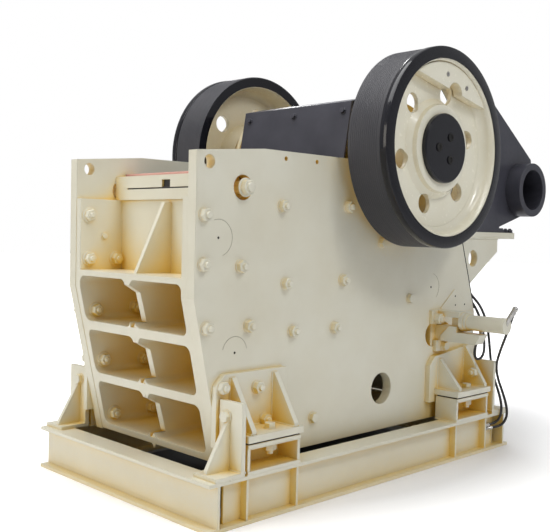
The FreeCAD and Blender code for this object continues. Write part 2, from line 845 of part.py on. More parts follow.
def wedge_cylinder():
    """Hydraulic cylinder whose rod pulls on the eye of the wedge's tail."""
    z = level(cylinder_level)
    x0 = half_out + bracket_reach + cylinder_flange_t
    x1 = x0 + cylinder_len
    barrel = rod_x(cylinder_r, x0, x1, cylinder_y, z)
    cap = rod_x(cylinder_r + 1, x1, x1 + cylinder_cap_t, cylinder_y, z)
    gland = rod_x(cylinder_r + 5, x0, x0 + 16, cylinder_y, z)
    rod = rod_x(cylinder_rod_r, half_out + bracket_reach - 10, x0 + 2, cylinder_y, z)
    return fused([barrel, cap, gland, rod])


# ---- hoses ----
def hose_route_cap():
    """From the elbow on the cylinder's cap down behind the rear stop and into the base beam."""
    return [
        V(875, 1731, 777), V(785, 1832, 664), V(690, 1935, 557), V(612, 2028, 461), V(606, 2058, 384),
        V(636, 2062, 312), V(656, 2070, 248), V(664, 2076, 190), V(656, 2066, 146), V(636, 2042, 118),
        V(610, 2011, 112),
    ]


def hose_route_supply():
    """From the block on the rear frame down behind the cylinder and into the base beam."""
    return [
        V(401, 2036, 925), V(401, 2036, 872), V(434, 2048, 826), V(484, 2054, 776), V(522, 2052, 708),
        V(546, 2048, 628), V(559, 2045, 546), V(570, 2044, 466), V(588, 2046, 390), V(618, 2044, 322),
        V(638, 2048, 260), V(643, 2050, 204), V(636, 2040, 160), V(618, 2018, 136), V(602, 1988, 131),
    ]


def hose_route_rod():
    """From the block on the rear frame through a hanging loop to the port under the barrel."""
    return [
        V(384, 2036, 925), V(384, 2036, 872), V(412, 2036, 822), V(460, 2034, 774), V(512, 2010, 714),
        V(554, 1978, 648), V(582, 1950, 586), V(594, 1930, 536), V(596, 1900, 504), V(596, 1852, 502),
        V(602, 1818, 534), V(624, 1792, 580), V(655, 1770, 628), V(684, 1744, 664),
    ]


def tube(points):
    """Hose along straight runs joined by tangent arcs, each as large as its two runs allow."""
    edges = []
    start = points[0]
    radii = []
    for before, corner, after in zip(points[:-2], points[1:-1], points[2:]):
        to_corner = corner - before
        from_corner = after - corner
        half_turn = to_corner.getAngle(from_corner) / 2
        cut_back = 0.45 * min(to_corner.Length, from_corner.Length)
        radius = cut_back / math.tan(half_turn)
        first = corner - V(to_corner).normalize() * cut_back
        last = corner + V(from_corner).normalize() * cut_back
        inward = (V(from_corner).normalize() - V(to_corner).normalize()).normalize()
        middle = corner + inward * (radius / math.cos(half_turn) - radius)
        edges.append(Part.LineSegment(start, first).toShape())
        edges.append(Part.Arc(first, middle, last).toShape())
        radii.append(round(radius))
        start = last
    edges.append(Part.LineSegment(start, points[-1]).toShape())
    path = Part.Wire(edges)
    heading = (points[1] - points[0]).normalize()
    section = Part.Wire([Part.Circle(points[0], heading, hose_r).toShape()])
    solid = path.makePipeShell([section], True, False)
    share = solid.Volume / (math.pi * hose_r ** 2 * path.Length)
    print(f"hose: length {path.Length:.0f}, radii {radii}, volume over section times length {share:.4f}")
    return solid


def sleeve(end, towards, length, radius=sleeve_r):
    """Round sleeve from `end` in the direction of `towards`."""
    return Part.makeCylinder(radius, length, end, V(towards).normalize())


def fittings_for(routes):
    """Elbow, port nipple, block and beam glands for the hoses of one side."""
    cap_route, rod_route = routes[0], routes[1]
    z = level(cylinder_level)
    cap_x = half_out + bracket_reach + cylinder_flange_t + cylinder_len + cylinder_cap_t / 2
    heading = (cap_route[1] - cap_route[0]).normalize()
    knuckle = cap_route[0] - heading * 42
    port = V(cap_x, cylinder_y, z)
    keep_off = rod_x(cylinder_r + 1, cap_x - 60, cap_x + 14, cylinder_y, z)
    elbow = fused([
        sleeve(cap_route[0], heading * -1, 42),
        Part.makeSphere(sleeve_r + 3, knuckle),
        sleeve(port, knuckle - port, (knuckle - port).Length, sleeve_r + 1),
    ]).cut(keep_off)
    back = (rod_route[-2] - rod_route[-1]).normalize() * -1
    nipple = sleeve(rod_route[-1], back, 46)
    nipple = nipple.cut(rod_x(cylinder_r, cap_x - 220, cap_x, cylinder_y, z))
    nipple = max(nipple.Solids, key=lambda solid: solid.Volume)
    flange_y = plate_rear_y - rear_set_back
    top = rod_route[0].z
    block = box(half_in - block_w - 1, half_in - 1, flange_y, flange_y + 36, top, top + 40)
    made = [elbow, nipple, block]
    web_x = half_base - beam_web_set_back
    for route in [cap_route] + routes[2:]:
        heading = (route[-1] - route[-2]).normalize()
        gland = sleeve(route[-1], heading, 60)
        made.append(gland.common(box(web_x, half_base, route[-1].y - 80, route[-1].y + 40, 20, base_h - 20)))
    return made


# ---- motor bracket and motor base ----
def motor_bracket():
    """Shelf behind the crusher that carries the motor base, on two gusset plates."""
    top = level(shelf_level)
    under = top - bracket_plate_t
    shelf = box(-half_out, half_out, rear_edge_y(under), bracket_rear_y, under, top)
    low = level(gusset_low_h)
    outline = [
        (rear_edge_y(under), under), (gusset_end_y, under), (gusset_end_y, under - 75),
        (rear_edge_y(low) + 8, low), (rear_edge_y(low), low),
    ]
    x0 = half_out - gusset_plate_t
    hole = rod_x(gusset_hole_r, x0 - 1, half_out + 1, rear_edge_y(low) + 30, under - 112)
    gusset = prism_x(outline, x0, half_out).cut(hole)
    return fused([shelf, gusset, mirrored(gusset)])


def motor_tube():
    """Thick cross tube on which the motor's plate swings."""
    out = motor_plate_x + motor_tube_out
    tube = rod_x(motor_tube_r, -out, out, motor_tube_y, motor_tube_z)
    return tube.cut(rod_x(motor_tube_bore, -out - 1, out + 1, motor_tube_y, motor_tube_z))


def motor_base():
    """Motor base: two drop-shaped side plates, a sole plate and a sloping front plate."""
    sole_z = level(shelf_level)
    tube_z = motor_tube_z
    r = motor_tube_r
    x1 = motor_plate_x
    x0 = x1 - motor_plate_t
    low_front = (sole_front_y + 40, sole_z)
    top_front = (sole_front_y + 170, tube_z + 512)
    outline = [
        low_front, (sole_front_y + 330, sole_z + 34), (motor_tube_y + r * 0.24, tube_z - r * 0.97),
        (motor_tube_y + r * 0.78, tube_z - r * 0.62), (motor_tube_y + r * 0.98, tube_z + r * 0.1),
        (motor_tube_y + 128, tube_z + 190), top_front, (top_front[0] - 90, tube_z + 420),
    ]
    plate = prism_x(outline, x0, x1)
    sole = box(-x1, x1, sole_front_y + 20, bracket_rear_y - 120, sole_z, sole_z + 26)
    seat = prism_x(
        [low_front, (sole_front_y + 330, sole_z), (sole_front_y + 330, sole_z + 34),
         (sole_front_y + 40, sole_z + 26)],
        x0, x1,
    )
    front_top_y = top_front[0] - 60
    front = prism_x(
        [(sole_front_y + 30, sole_z), (sole_front_y + 54, sole_z), (front_top_y, tube_z + 420),
         (front_top_y - 24, tube_z + 420)],
        -x1, x1,
    )
    body = fused([plate, mirrored(plate), sole, seat, mirrored(seat), front])
    body = body.cut(rod_x(r, -x1 - 1, x1 + 1, motor_tube_y, tube_z))
    return max(body.Solids, key=lambda solid: solid.Volume)


def main():
    os.makedirs("parts", exist_ok=True)
    export_pair("base_beam", side_beam())
    export("base_beam_front", cross_beam(base_front_y, -1))
    export("base_beam_rear", cross_beam(base_rear_y, 1))
    feet = {
        "front": foot(foot_front_y, foot_plate_h, foot_plate_h, foot_front_tail),
        "rear": foot(foot_rear_y, rear_foot_front_h, rear_foot_rear_h, foot_rear_tail),
    }
    pads = []
    for place, y in (("front", foot_front_y), ("rear", foot_rear_y)):
        export_pair(f"pedestal_{place}", pedestal(y))
        export_pair(f"foot_{place}", feet[place])
        pads += [pad(y), mirrored(pad(y))]
    export("rubber_pads", Part.makeCompound(pads))
    front_stop = stop(foot_front_y - 16, -1)
    rear_stop = stop(foot_rear_y + foot_len + 6, 1)
    export("stops_front", Part.makeCompound([front_stop, mirrored(front_stop)]))
    export("stops_rear", Part.makeCompound([rear_stop, mirrored(rear_stop)]))
    export_pair("side_plate", side_plate())
    export("front_frame", front_frame())
    export("clamp_beam", clamp_beam())
    export("clamp_rod", clamp_rod())
    export("fixed_jaw_die", fixed_jaw_die())
    export_pair("cheek_liner", cheek_liner())
    export_pair("bearing_housing", bearing_housing())
    export("eccentric_shaft", eccentric_shaft())
    rim, hub = wheel()
    export_pair("flywheel_rim", rim)
    export_pair("flywheel_hub", hub)
    export("hub_caps", Part.makeCompound([hub_cap(), mirrored(hub_cap())]))
    export_pair("counterweight", counterweight())
    export("pitman", pitman())
    export("pitman_barrel", pitman_barrel())
    export("moving_jaw_die", moving_jaw_die())
    export("pitman_guard", guard())
    export("rear_frame", rear_frame())
    export("toggle_seat", toggle_seat())
    export("toggle_wedges", Part.makeCompound([toggle_wedge(), mirrored(toggle_wedge())]))
    export("toggle_plate", toggle_plate())
    export_pair("cylinder_bracket", cylinder_bracket())
    export_pair("wedge_cylinder", wedge_cylinder())
    export("motor_bracket", motor_bracket())
    export("motor_base", motor_base())
    export("motor_tube", motor_tube())
    routes = [hose_route_cap(), hose_route_rod(), hose_route_supply()]
    export_pair("hose_cap", tube(routes[0]))
    export_pair("hose_rod", tube(routes[1]))
    export("hose_supply_right", tube(routes[2]))
    fittings = fittings_for(routes) + [mirrored(piece) for piece in fittings_for(routes[:2])]
    export("hose_fittings", Part.makeCompound(fittings))


main()
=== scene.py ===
import logging
import math
from collections.abc import Callable, Sequence
from dataclasses import dataclass
from enum import Enum

import bpy
from mathutils import Matrix, Vector


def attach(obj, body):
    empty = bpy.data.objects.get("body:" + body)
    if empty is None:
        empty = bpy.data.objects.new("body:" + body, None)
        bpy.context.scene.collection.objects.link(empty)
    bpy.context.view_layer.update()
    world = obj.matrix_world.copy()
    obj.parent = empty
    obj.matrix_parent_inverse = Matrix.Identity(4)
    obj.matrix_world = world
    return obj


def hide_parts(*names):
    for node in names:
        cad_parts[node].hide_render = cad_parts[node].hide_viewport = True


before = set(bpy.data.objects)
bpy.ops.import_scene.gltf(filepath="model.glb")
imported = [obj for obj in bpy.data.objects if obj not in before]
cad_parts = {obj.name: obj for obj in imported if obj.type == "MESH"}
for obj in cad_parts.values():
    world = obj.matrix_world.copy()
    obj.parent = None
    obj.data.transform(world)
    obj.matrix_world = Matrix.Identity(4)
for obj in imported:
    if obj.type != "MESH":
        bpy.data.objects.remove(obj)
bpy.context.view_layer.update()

LOG = logging.getLogger("jaw_crusher")
EDGE_Y = 1302.0
FRAME, ROTOR, SWING_JAW = "frame", "rotor", "swing_jaw"
RIGHT, LEFT = 1, -1
TURN = 2 * math.pi
SIDE_NAMES = {RIGHT: "right", LEFT: "left"}
MM = 0.001

Object = bpy.types.Object
Material = bpy.types.Material
Socket = bpy.types.NodeSocket
Colour = tuple[float, float, float]
Spot = tuple[float, float, float]


def row(x: float, y: float, z: float) -> Vector:
    """Row-frame place, in metres, of a drawing place in millimetres.

    Args:
        x: across, from the middle of the machine.
        y: rearwards, from the front edge of the side plates.
        z: height above the ground.

    Returns:
        The place in the row frame.
    """
    return Vector((x / 1000, (y - EDGE_Y) / 1000, z / 1000))


def enamel(red: int, green: int, blue: int) -> Colour:
    """Linear colour of a shade given as it looks on a display.

    Args:
        red: 0 to 255.
        green: 0 to 255.
        blue: 0 to 255.

    Returns:
        The linear red, green and blue.
    """
    def linear(part: int) -> float:
        """Linear value of one display value."""
        share = part / 255
        return share / 12.92 if share <= 0.04045 else ((share + 0.055) / 1.055) ** 2.4
    return linear(red), linear(green), linear(blue)


def both_sides(spots: Sequence[tuple[Spot, Spot]]) -> list[tuple[Vector, Vector]]:
    """Seats on the right side of the machine, then the same ones mirrored to the left.

    Args:
        spots: drawing place and outward direction of each seat on the right side.

    Returns:
        The row-frame seats with their directions.
    """
    return [(row(side * x, y, z), Vector((side * across, along, up)))
            for side in (RIGHT, LEFT) for (x, y, z), (across, along, up) in spots]


def circle(x: float, centre: tuple[float, float], radius: float, angles: Sequence[float]) -> list[Spot]:
    """Drawing places on a circle about an X line.

    Args:
        x: where the circle's plane stands.
        centre: its middle, as y and z.
        radius: its radius.
        angles: angle of each place, in radians, from the rear upwards.

    Returns:
        The places.
    """
    y, z = centre
    return [(x, y + radius * math.cos(angle), z + radius * math.sin(angle)) for angle in angles]


class Part(Enum):
    """Kinds of mesh part that can be selected in edit mode."""

    POINT = ("vertices", (True, False, False))
    EDGE = ("edges", (False, True, False))
    FACE = ("polygons", (False, False, True))

    def __init__(self, group: str, mode: tuple[bool, bool, bool]) -> None:
        """Keep the mesh's group of parts and the select mode."""
        self.group = group
        self.mode = mode


class Bench:
    """Modelling by operators: every method leaves the piece at the origin, unturned and unscaled."""

    @staticmethod
    def pick(*pieces: Object) -> None:
        """Select only these pieces; the last one is active."""
        bpy.ops.object.select_all(action="DESELECT")
        for piece in pieces:
            piece.select_set(True)
            bpy.context.view_layer.objects.active = piece

    @classmethod
    def settle(cls, piece: Object) -> Object:
        """Apply place, turn and size to the mesh."""
        cls.pick(piece)
        bpy.ops.object.transform_apply(location=True, rotation=True, scale=True)
        return piece

    @classmethod
    def named(cls, name: str) -> Object:
        """Name the new active piece and settle it."""
        piece = bpy.context.view_layer.objects.active
        piece.name = name
        piece.data.name = name
        return cls.settle(piece)

    @classmethod
    def box(cls, name: str, low: Vector, high: Vector) -> Object:
        """Block between two corners.

        Args:
            name: the piece's name.
            low: lowest corner.
            high: highest corner.

        Returns:
            The block.
        """
        bpy.ops.mesh.primitive_cube_add(size=1, location=(low + high) / 2)
        bpy.context.view_layer.objects.active.scale = high - low
        return cls.named(name)

    @classmethod
    def rod(cls, name: str, start: Vector, end: Vector, radius: float, sides: int = 32) -> Object:
        """Round or many-sided bar between two points.

        Args:
            name: the piece's name.
            start: middle of one end.
            end: middle of the other end.
            radius: radius to the corners.
            sides: number of sides.

        Returns:
            The bar.
        """
        run = end - start
        bpy.ops.mesh.primitive_cylinder_add(
            vertices=sides, radius=radius, depth=run.length, location=(start + end) / 2,
            rotation=run.to_track_quat("Z", "Y").to_euler(),
        )
        return cls.named(name)

    @classmethod
    def opened(cls, piece: Object, part: Part, test: Callable[[object], bool]) -> None:
        """Open a piece in edit mode with only the parts of one kind that pass the test selected.

        Args:
            piece: the piece.
            part: which kind of part is tested.
            test: whether a face, an edge or a point is selected.
        """
        cls.pick(piece)
        mesh = piece.data
        for group in (mesh.vertices, mesh.edges, mesh.polygons):
            group.foreach_set("select", [False] * len(group))
        for item in getattr(mesh, part.group):
            item.select = test(item)
        bpy.context.tool_settings.mesh_select_mode = part.mode
        bpy.ops.object.mode_set(mode="EDIT")

    @classmethod
    def faces(cls, piece: Object, test: Callable[[bpy.types.MeshPolygon], bool]) -> None:
        """Open a piece in edit mode with the faces that pass the test selected."""
        cls.opened(piece, Part.FACE, test)

    @classmethod
    def edges(cls, piece: Object, test: Callable[[bpy.types.MeshEdge], bool]) -> None:
        """Open a piece in edit mode with the edges that pass the test selected."""
        cls.opened(piece, Part.EDGE, test)

    @classmethod
    def points(cls, piece: Object, test: Callable[[bpy.types.MeshVertex], bool]) -> None:
        """Open a piece in edit mode with the points that pass the test selected."""
        cls.opened(piece, Part.POINT, test)

    @staticmethod
    def close() -> None:
        """Leave edit mode."""
        bpy.ops.object.mode_set(mode="OBJECT")

    @classmethod
    def outward(cls, piece: Object) -> Object:
        """Merge doubled points and turn every face outwards."""
        cls.faces(piece, lambda face: True)
        bpy.ops.mesh.select_all(action="SELECT")
        bpy.ops.mesh.remove_doubles(threshold=0.00001)
        bpy.ops.mesh.normals_make_consistent(inside=False)
        cls.close()
        return piece

    @classmethod
    def apply(cls, piece: Object, kind: str, **settings: object) -> Object:
        """Add one modifier and apply it.

        Args:
            piece: the piece.
            kind: the modifier's type.
            settings: the modifier's own settings.

        Returns:
            The piece.
        """
        modifier = piece.modifiers.new(kind.title(), kind)
        for key, value in settings.items():
            setattr(modifier, key, value)
        cls.pick(piece)
        bpy.ops.object.modifier_apply(modifier=modifier.name)
        return piece

    @classmethod
    def rounded(cls, piece: Object, width: float, segments: int = 2) -> Object:
        """Round the sharp edges and shade smooth by angle."""
        cls.apply(piece, "BEVEL", width=width, segments=segments, limit_method="ANGLE",
                  angle_limit=math.radians(28))
        return cls.smooth(piece)

    @classmethod
    def smooth(cls, piece: Object, degrees: float = 35) -> Object:
        """Shade smooth, except across edges sharper than the angle."""
        cls.pick(piece)
        bpy.ops.object.shade_smooth_by_angle(angle=math.radians(degrees))
        return piece

    @classmethod
    def outline(cls, name: str, corners: Sequence[Vector]) -> Object:
        """Face drawn corner by corner: one point, extruded from each corner to the next, then closed.

        Args:
            name: the piece's name.
            corners: corners in order, in one plane.

        Returns:
            The flat piece.
        """
        bpy.ops.mesh.primitive_plane_add(size=0.001, location=corners[0])
        piece = cls.named(name)
        cls.faces(piece, lambda face: True)
        bpy.ops.mesh.select_mode(type="VERT")
        bpy.ops.mesh.select_all(action="SELECT")
        bpy.ops.mesh.merge(type="CENTER")
        for corner, following in zip(corners, corners[1:]):
            bpy.ops.mesh.extrude_region_move(TRANSFORM_OT_translate={"value": following - corner})
        bpy.ops.mesh.select_all(action="SELECT")
        bpy.ops.mesh.edge_face_add()
        cls.close()
        return piece

    @classmethod
    def plate(cls, name: str, corners: Sequence[Vector], thick: Vector) -> Object:
        """Flat plate cut to an outline and given its thickness.

        Args:
            name: the piece's name.
            corners: corners in order, in one plane.
            thick: direction and amount of the thickness.

        Returns:
            The plate.
        """
        piece = cls.outline(name, corners)
        cls.faces(piece, lambda face: True)
        bpy.ops.mesh.extrude_region_move(TRANSFORM_OT_translate={"value": thick})
        cls.close()
        return cls.outward(piece)

    @classmethod
    def turned(cls, name: str, profile: Sequence[tuple[float, float]], centre: Vector,
               steps: int = 144) -> Object:
        """Piece turned about an X line from a closed outline of (x, radius) points.

        Args:
            name: the piece's name.
            profile: closed outline, x in metres in the row frame and radius in metres.
            centre: a point of the axis.
            steps: number of faces round the piece.

        Returns:
            The turned piece.
        """
        corners = [Vector((x, centre.y, centre.z + radius)) for x, radius in profile]
        piece = cls.outline(name, corners)
        cls.faces(piece, lambda face: True)
        bpy.ops.mesh.delete(type="ONLY_FACE")
        bpy.ops.mesh.select_mode(type="VERT")
        bpy.ops.mesh.select_all(action="SELECT")
        bpy.ops.mesh.spin(steps=steps, angle=TURN, center=centre, axis=(1, 0, 0))
        cls.close()
        return cls.smooth(cls.outward(piece), 30)

    @classmethod
    def copies(cls, name: str, pattern: Object, places: Sequence[Matrix]) -> Object:
        """Set copies of one pattern, each with its own mesh, and join them into one piece.

        Args:
            name: the joined piece's name.
            pattern: the modelled piece, about the origin.
            places: where each copy goes.

        Returns:
            The joined piece.
        """
        made = []
        for place in places:
            copy = pattern.copy()
            copy.data = pattern.data.copy()
            bpy.context.scene.collection.objects.link(copy)
            copy.matrix_world = place
            made.append(copy)
        cls.pick(*made)
        bpy.ops.object.join()
        return cls.named(name)

    @classmethod
    def joined(cls, name: str, pieces: Sequence[Object]) -> Object:
        """Join settled pieces into one."""
        cls.pick(*pieces)
        bpy.ops.object.join()
        return cls.named(name)

    @staticmethod
    def drop(piece: Object) -> None:
        """Remove a pattern that is no longer needed."""
        bpy.data.objects.remove(piece)


class Effect(Enum):
    """Shared surface effects, each built once as a node group."""

    PAINT = "paint_skin"
    METAL = "metal_skin"
    # Worn edges, and painted shade in closed-in corners.
    WEAR = "edge_wear"


class Wiring:
    """A node tree with short calls that add and join nodes."""

    def __init__(self, tree: bpy.types.NodeTree) -> None:
        """Keep the tree."""
        self.tree = tree

    def add(self, kind: str, inputs: dict | None = None, **settings: object) -> bpy.types.Node:
        """Add a node.

        Args:
            kind: the node's type, without "ShaderNode".
            inputs: values or sockets by input name or index.
            settings: the node's own settings.

        Returns:
            The node.
        """
        node = self.tree.nodes.new(kind if kind.startswith("Node") else "ShaderNode" + kind)
        for key, value in settings.items():
            setattr(node, key, value)
        for key, value in (inputs or {}).items():
            self.feed(node.inputs[key], value)
        return node

    def feed(self, socket: Socket, value: object) -> None:
        """Link a socket into an input, or set the input's value."""
        if isinstance(value, Socket):
            self.tree.links.new(value, socket)
        elif isinstance(value, tuple) and len(value) == 3 and len(socket.default_value) == 4:
            socket.default_value = (*value, 1)
        else:
            socket.default_value = value

    def noise(self, place: Socket, scale: object, detail: float = 3, rough: float = 0.5) -> Socket:
        """Noise value over a place."""
        return self.add("TexNoise", {"Vector": place, "Scale": scale, "Detail": detail,
                                     "Roughness": rough}).outputs["Fac"]

    def span(self, value: Socket, low: float, high: float,
             to: tuple[float, float] = (0.0, 1.0)) -> Socket:
        """Stretch a value's range onto another, clamped."""
        node = self.add("MapRange", {"Value": value, "From Min": low, "From Max": high,
                                     "To Min": to[0], "To Max": to[1]})
        return node.outputs["Result"]

    def math(self, work: str, first: object, second: object = 0.0) -> Socket:
        """One arithmetic step."""
        return self.add("Math", {0: first, 1: second}, operation=work).outputs[0]

    def blend(self, share: object, first: object, second: object) -> Socket:
        """Colour between two colours."""
        return self.add("Mix", {0: share, 6: first, 7: second}, data_type="RGBA").outputs[2]

    def group(self, effect: Effect, inputs: dict) -> bpy.types.Node:
        """Place a shared effect with its own values."""
        return self.add("Group", inputs, node_tree=bpy.data.node_groups[effect.value])

    def object_place(self) -> Socket:
        """Object coordinates."""
        return self.add("TexCoord").outputs["Object"]


class Effects:
    """Builds the node groups that several materials share."""

    def __init__(self) -> None:
        """Build every group once, the worn edges and painted corner shade first, because the skins hold
        it.
        """
        self.edge_wear()
        self.paint_skin()
        self.metal_skin()

    @staticmethod
    def start(effect: Effect, inputs: dict[str, object], outputs: dict[str, str]) -> tuple[Wiring, dict]:
        """Open a group with its sockets.

        Args:
            effect: the group's name.
            inputs: default values by socket name; a colour is a 3-tuple.
            outputs: "NodeSocketColor" or "NodeSocketFloat" by socket name.

        Returns:
            The wiring and the group's input sockets by name.
        """
        tree = bpy.data.node_groups.new(effect.value, "ShaderNodeTree")
        for name, value in inputs.items():
            kind = "NodeSocketColor" if isinstance(value, tuple) else "NodeSocketFloat"
            socket = tree.interface.new_socket(name=name, in_out="INPUT", socket_type=kind)
            socket.default_value = (*value, 1) if isinstance(value, tuple) else value
        for name, kind in outputs.items():
            tree.interface.new_socket(name=name, in_out="OUTPUT", socket_type=kind)
        wiring = Wiring(tree)
        return wiring, wiring.add("NodeGroupInput").outputs

    def edge_wear(self) -> None:
        """Mask of worn edges, and mask of closed-in corners where shade is painted."""
        w, given = self.start(
            Effect.WEAR, {"Edge Width": 0.004, "Corner Reach": 0.12},
            {"Edge": "NodeSocketFloat", "Corner": "NodeSocketFloat"},
        )
        place = w.object_place()
        round_normal = w.add("Bevel", {"Radius": given["Edge Width"]}, samples=4).outputs["Normal"]
        flat = w.add("NewGeometry").outputs["Normal"]
        alike = w.add("VectorMath", {0: round_normal, 1: flat}, operation="DOT_PRODUCT").outputs["Value"]
        chipped = w.span(w.noise(place, 34.0, 4), 0.42, 0.62)
        edge = w.math("MULTIPLY", w.span(alike, 0.99, 0.8), chipped)
        # Painted shade: ambient occlusion finds the closed-in corners, which the paint skin darkens and
        # warms.
        shut = w.add("AmbientOcclusion", {"Distance": given["Corner Reach"]}, samples=6).outputs["AO"]
        corner = w.span(shut, 0.62, 0.26)
        w.add("NodeGroupOutput", {"Edge": edge, "Corner": corner})

    def paint_skin(self) -> None:
        """Sprayed enamel: slow changes of tone, warm or dark shade painted into corners, thin edges and
        orange peel.
        """
        w, given = self.start(
            Effect.PAINT,
            {"Light": (0.8, 0.8, 0.8), "Deep": (0.6, 0.6, 0.6), "Corner": (0.3, 0.3, 0.3),
             "Edge": (0.9, 0.9, 0.9), "Edge Width": 0.004, "Corner Reach": 0.2, "Corner Depth": 0.7,
             "Gloss": 0.3, "Peel": 90.0},
            {"Colour": "NodeSocketColor", "Roughness": "NodeSocketFloat", "Height": "NodeSocketFloat"},
        )
        place = w.object_place()
        edge_and_corner_masks = w.group(Effect.WEAR, {key: given[key] for key in ("Edge Width", "Corner Reach")})
        slow = w.span(w.noise(place, 2.3, 4, 0.6), 0.35, 0.68)
        fine = w.noise(place, 46.0, 4)
        body = w.blend(slow, given["Light"], given["Deep"])
        # Painted shade: closed-in corners blend towards the corner shade colour.
        depth = w.math("MULTIPLY", edge_and_corner_masks.outputs["Corner"], given["Corner Depth"])
        shaded = w.blend(depth, body, given["Corner"])
        edge = w.math("MULTIPLY", edge_and_corner_masks.outputs["Edge"], 0.55)
        colour = w.blend(edge, shaded, given["Edge"])
        rough = w.math("ADD", given["Gloss"], w.span(fine, 0.3, 0.7, (-0.05, 0.07)))
        peel = w.noise(place, given["Peel"], 2, 0.4)
        run = w.noise(place, 7.0, 2)
        height = w.math("ADD", w.math("MULTIPLY", peel, 0.35), run)
        w.add("NodeGroupOutput", {"Colour": colour, "Roughness": rough, "Height": height})

    def metal_skin(self) -> None:
        """Cast or turned metal: stains, pits and tool marks."""
        w, given = self.start(
            Effect.METAL,
            {"Light": (0.5, 0.5, 0.5), "Dark": (0.2, 0.2, 0.2), "Stain": (0.2, 0.1, 0.05),
             "Stain Share": 0.3, "Rough": 0.4, "Pit Size": 120.0, "Edge Width": 0.003},
            {"Colour": "NodeSocketColor", "Roughness": "NodeSocketFloat", "Height": "NodeSocketFloat"},
        )
        place = w.object_place()
        edge_and_corner_masks = w.group(Effect.WEAR, {"Edge Width": given["Edge Width"]})
        cloud = w.span(w.noise(place, 9.0, 5, 0.6), 0.35, 0.7)
        body = w.blend(cloud, given["Dark"], given["Light"])
        spots = w.math("MULTIPLY", w.span(w.noise(place, 16.0, 6, 0.65), 0.5, 0.68), given["Stain Share"])
        stained = w.blend(spots, body, given["Stain"])
        colour = w.blend(edge_and_corner_masks.outputs["Edge"], stained, given["Light"])
        pits = w.noise(place, given["Pit Size"], 5, 0.6)
        rough = w.math("ADD", given["Rough"], w.span(pits, 0.3, 0.7, (-0.1, 0.12)))
        w.add("NodeGroupOutput", {"Colour": colour, "Roughness": rough, "Height": pits})


class Surface:
    """A new material with its shader and a normal that rounds sharp edges."""

    def __init__(self, name: str, round_edges: float) -> None:
        """Open the material.

        Args:
            name: the material's name.
            round_edges: radius of the rounding, in metres.
        """
        self.material = bpy.data.materials.new(name)
        self.material.use_nodes = True
        self.material.node_tree.nodes.clear()
        self.w = Wiring(self.material.node_tree)
        self.shader = self.w.add("BsdfPrincipled")
        self.w.add("OutputMaterial", {"Surface": self.shader.outputs["BSDF"]})
        self.normal = self.w.add("Bevel", {"Radius": round_edges}, samples=4).outputs["Normal"]

    def plain(self, name: str, value: float) -> None:
        """Set one of the shader's own values, the same all over."""
        self.shader.inputs[name].default_value = value

    def finish(self, colour: Socket, rough: Socket, height: Socket, strength: float,
               distance: float) -> Material:
        """Feed the shader what changes over the surface.

        Args:
            colour: base colour.
            rough: roughness.
            height: height of the bumps.
            strength: how strongly they show.
            distance: their depth, in metres.

        Returns:
            The finished material.
        """
        bump = self.w.add("Bump", {"Height": height, "Strength": strength, "Distance": distance,
                                   "Normal": self.normal})
        self.w.feed(self.shader.inputs["Base Color"], colour)
        self.w.feed(self.shader.inputs["Roughness"], rough)
        self.w.feed(self.shader.inputs["Normal"], bump.outputs["Normal"])
        return self.material


@dataclass(frozen=True)
class Enamel:
    """A sprayed enamel finish."""

    name: str
    light: Colour
    deep: Colour
    # Colour of the shade painted into closed-in corners.
    corner: Colour
    edge: Colour
    gloss: float = 0.3
    shine: float = 0.5
    coat: float = 0.5
    coat_roughness: float = 0.12
    peel: float = 90.0
    bump: float = 0.1
    edge_width: float = 0.005
    # Reach and strength of the painted corner shade.
    shade_reach: float = 0.25
    shade_depth: float = 0.8

    def make(self) -> Material:
        """Build the material."""
        surface = Surface(self.name, self.edge_width)
        skin = surface.w.group(Effect.PAINT, {
            "Light": self.light, "Deep": self.deep, "Corner": self.corner, "Edge": self.edge,
            "Edge Width": self.edge_width, "Corner Reach": self.shade_reach,
            "Corner Depth": self.shade_depth, "Gloss": self.gloss, "Peel": self.peel,
        }).outputs
        surface.plain("Specular IOR Level", self.shine)
        surface.plain("Coat Weight", self.coat)
        surface.plain("Coat Roughness", self.coat_roughness)
        return surface.finish(skin["Colour"], skin["Roughness"], skin["Height"], self.bump, 0.002)


@dataclass(frozen=True)
class Metal:
    """A bare, cast or plated metal finish."""

    name: str
    light: Colour
    dark: Colour
    stain: Colour
    stain_share: float = 0.3
    rough: float = 0.4
    pits: float = 120.0
    bump: float = 0.15
    metallic: float = 1.0
    edge_width: float = 0.003

    def make(self) -> Material:
        """Build the material."""
        surface = Surface(self.name, self.edge_width)
        skin = surface.w.group(Effect.METAL, {
            "Light": self.light, "Dark": self.dark, "Stain": self.stain,
            "Stain Share": self.stain_share, "Rough": self.rough, "Pit Size": self.pits,
            "Edge Width": self.edge_width,
        }).outputs
        surface.plain("Metallic", self.metallic)
        return surface.finish(skin["Colour"], skin["Roughness"], skin["Height"], self.bump, 0.001)


@dataclass(frozen=True)
class BandPaint:
    """Satin black paint over a turned belt face, with fine tool marks round the wheel."""

    name: str
    light: Colour
    dark: Colour
    pitch: float = 0.004
    rough: float = 0.5

    def make(self) -> Material:
        """Build the material."""
        surface = Surface(self.name, 0.002)
        w = surface.w
        place = w.object_place()
        across = w.add("SeparateXYZ", {0: place}).outputs["X"]
        stretched = w.add("Mapping", {"Vector": place, "Scale": (260.0, 3.0, 3.0)}).outputs[0]
        streak = w.noise(stretched, 1.0, 3)
        cloud = w.span(w.noise(place, 5.0, 4), 0.3, 0.7)
        colour = w.blend(w.math("MULTIPLY", cloud, streak), self.dark, self.light)
        rough = w.span(streak, 0.3, 0.7, (self.rough - 0.08, self.rough + 0.1))
        wave = w.math("SINE", w.math("MULTIPLY", across, TURN / self.pitch))
        height = w.math("ADD", w.math("MULTIPLY", wave, 0.2), streak)
        return surface.finish(colour, rough, height, 0.12, 0.001)


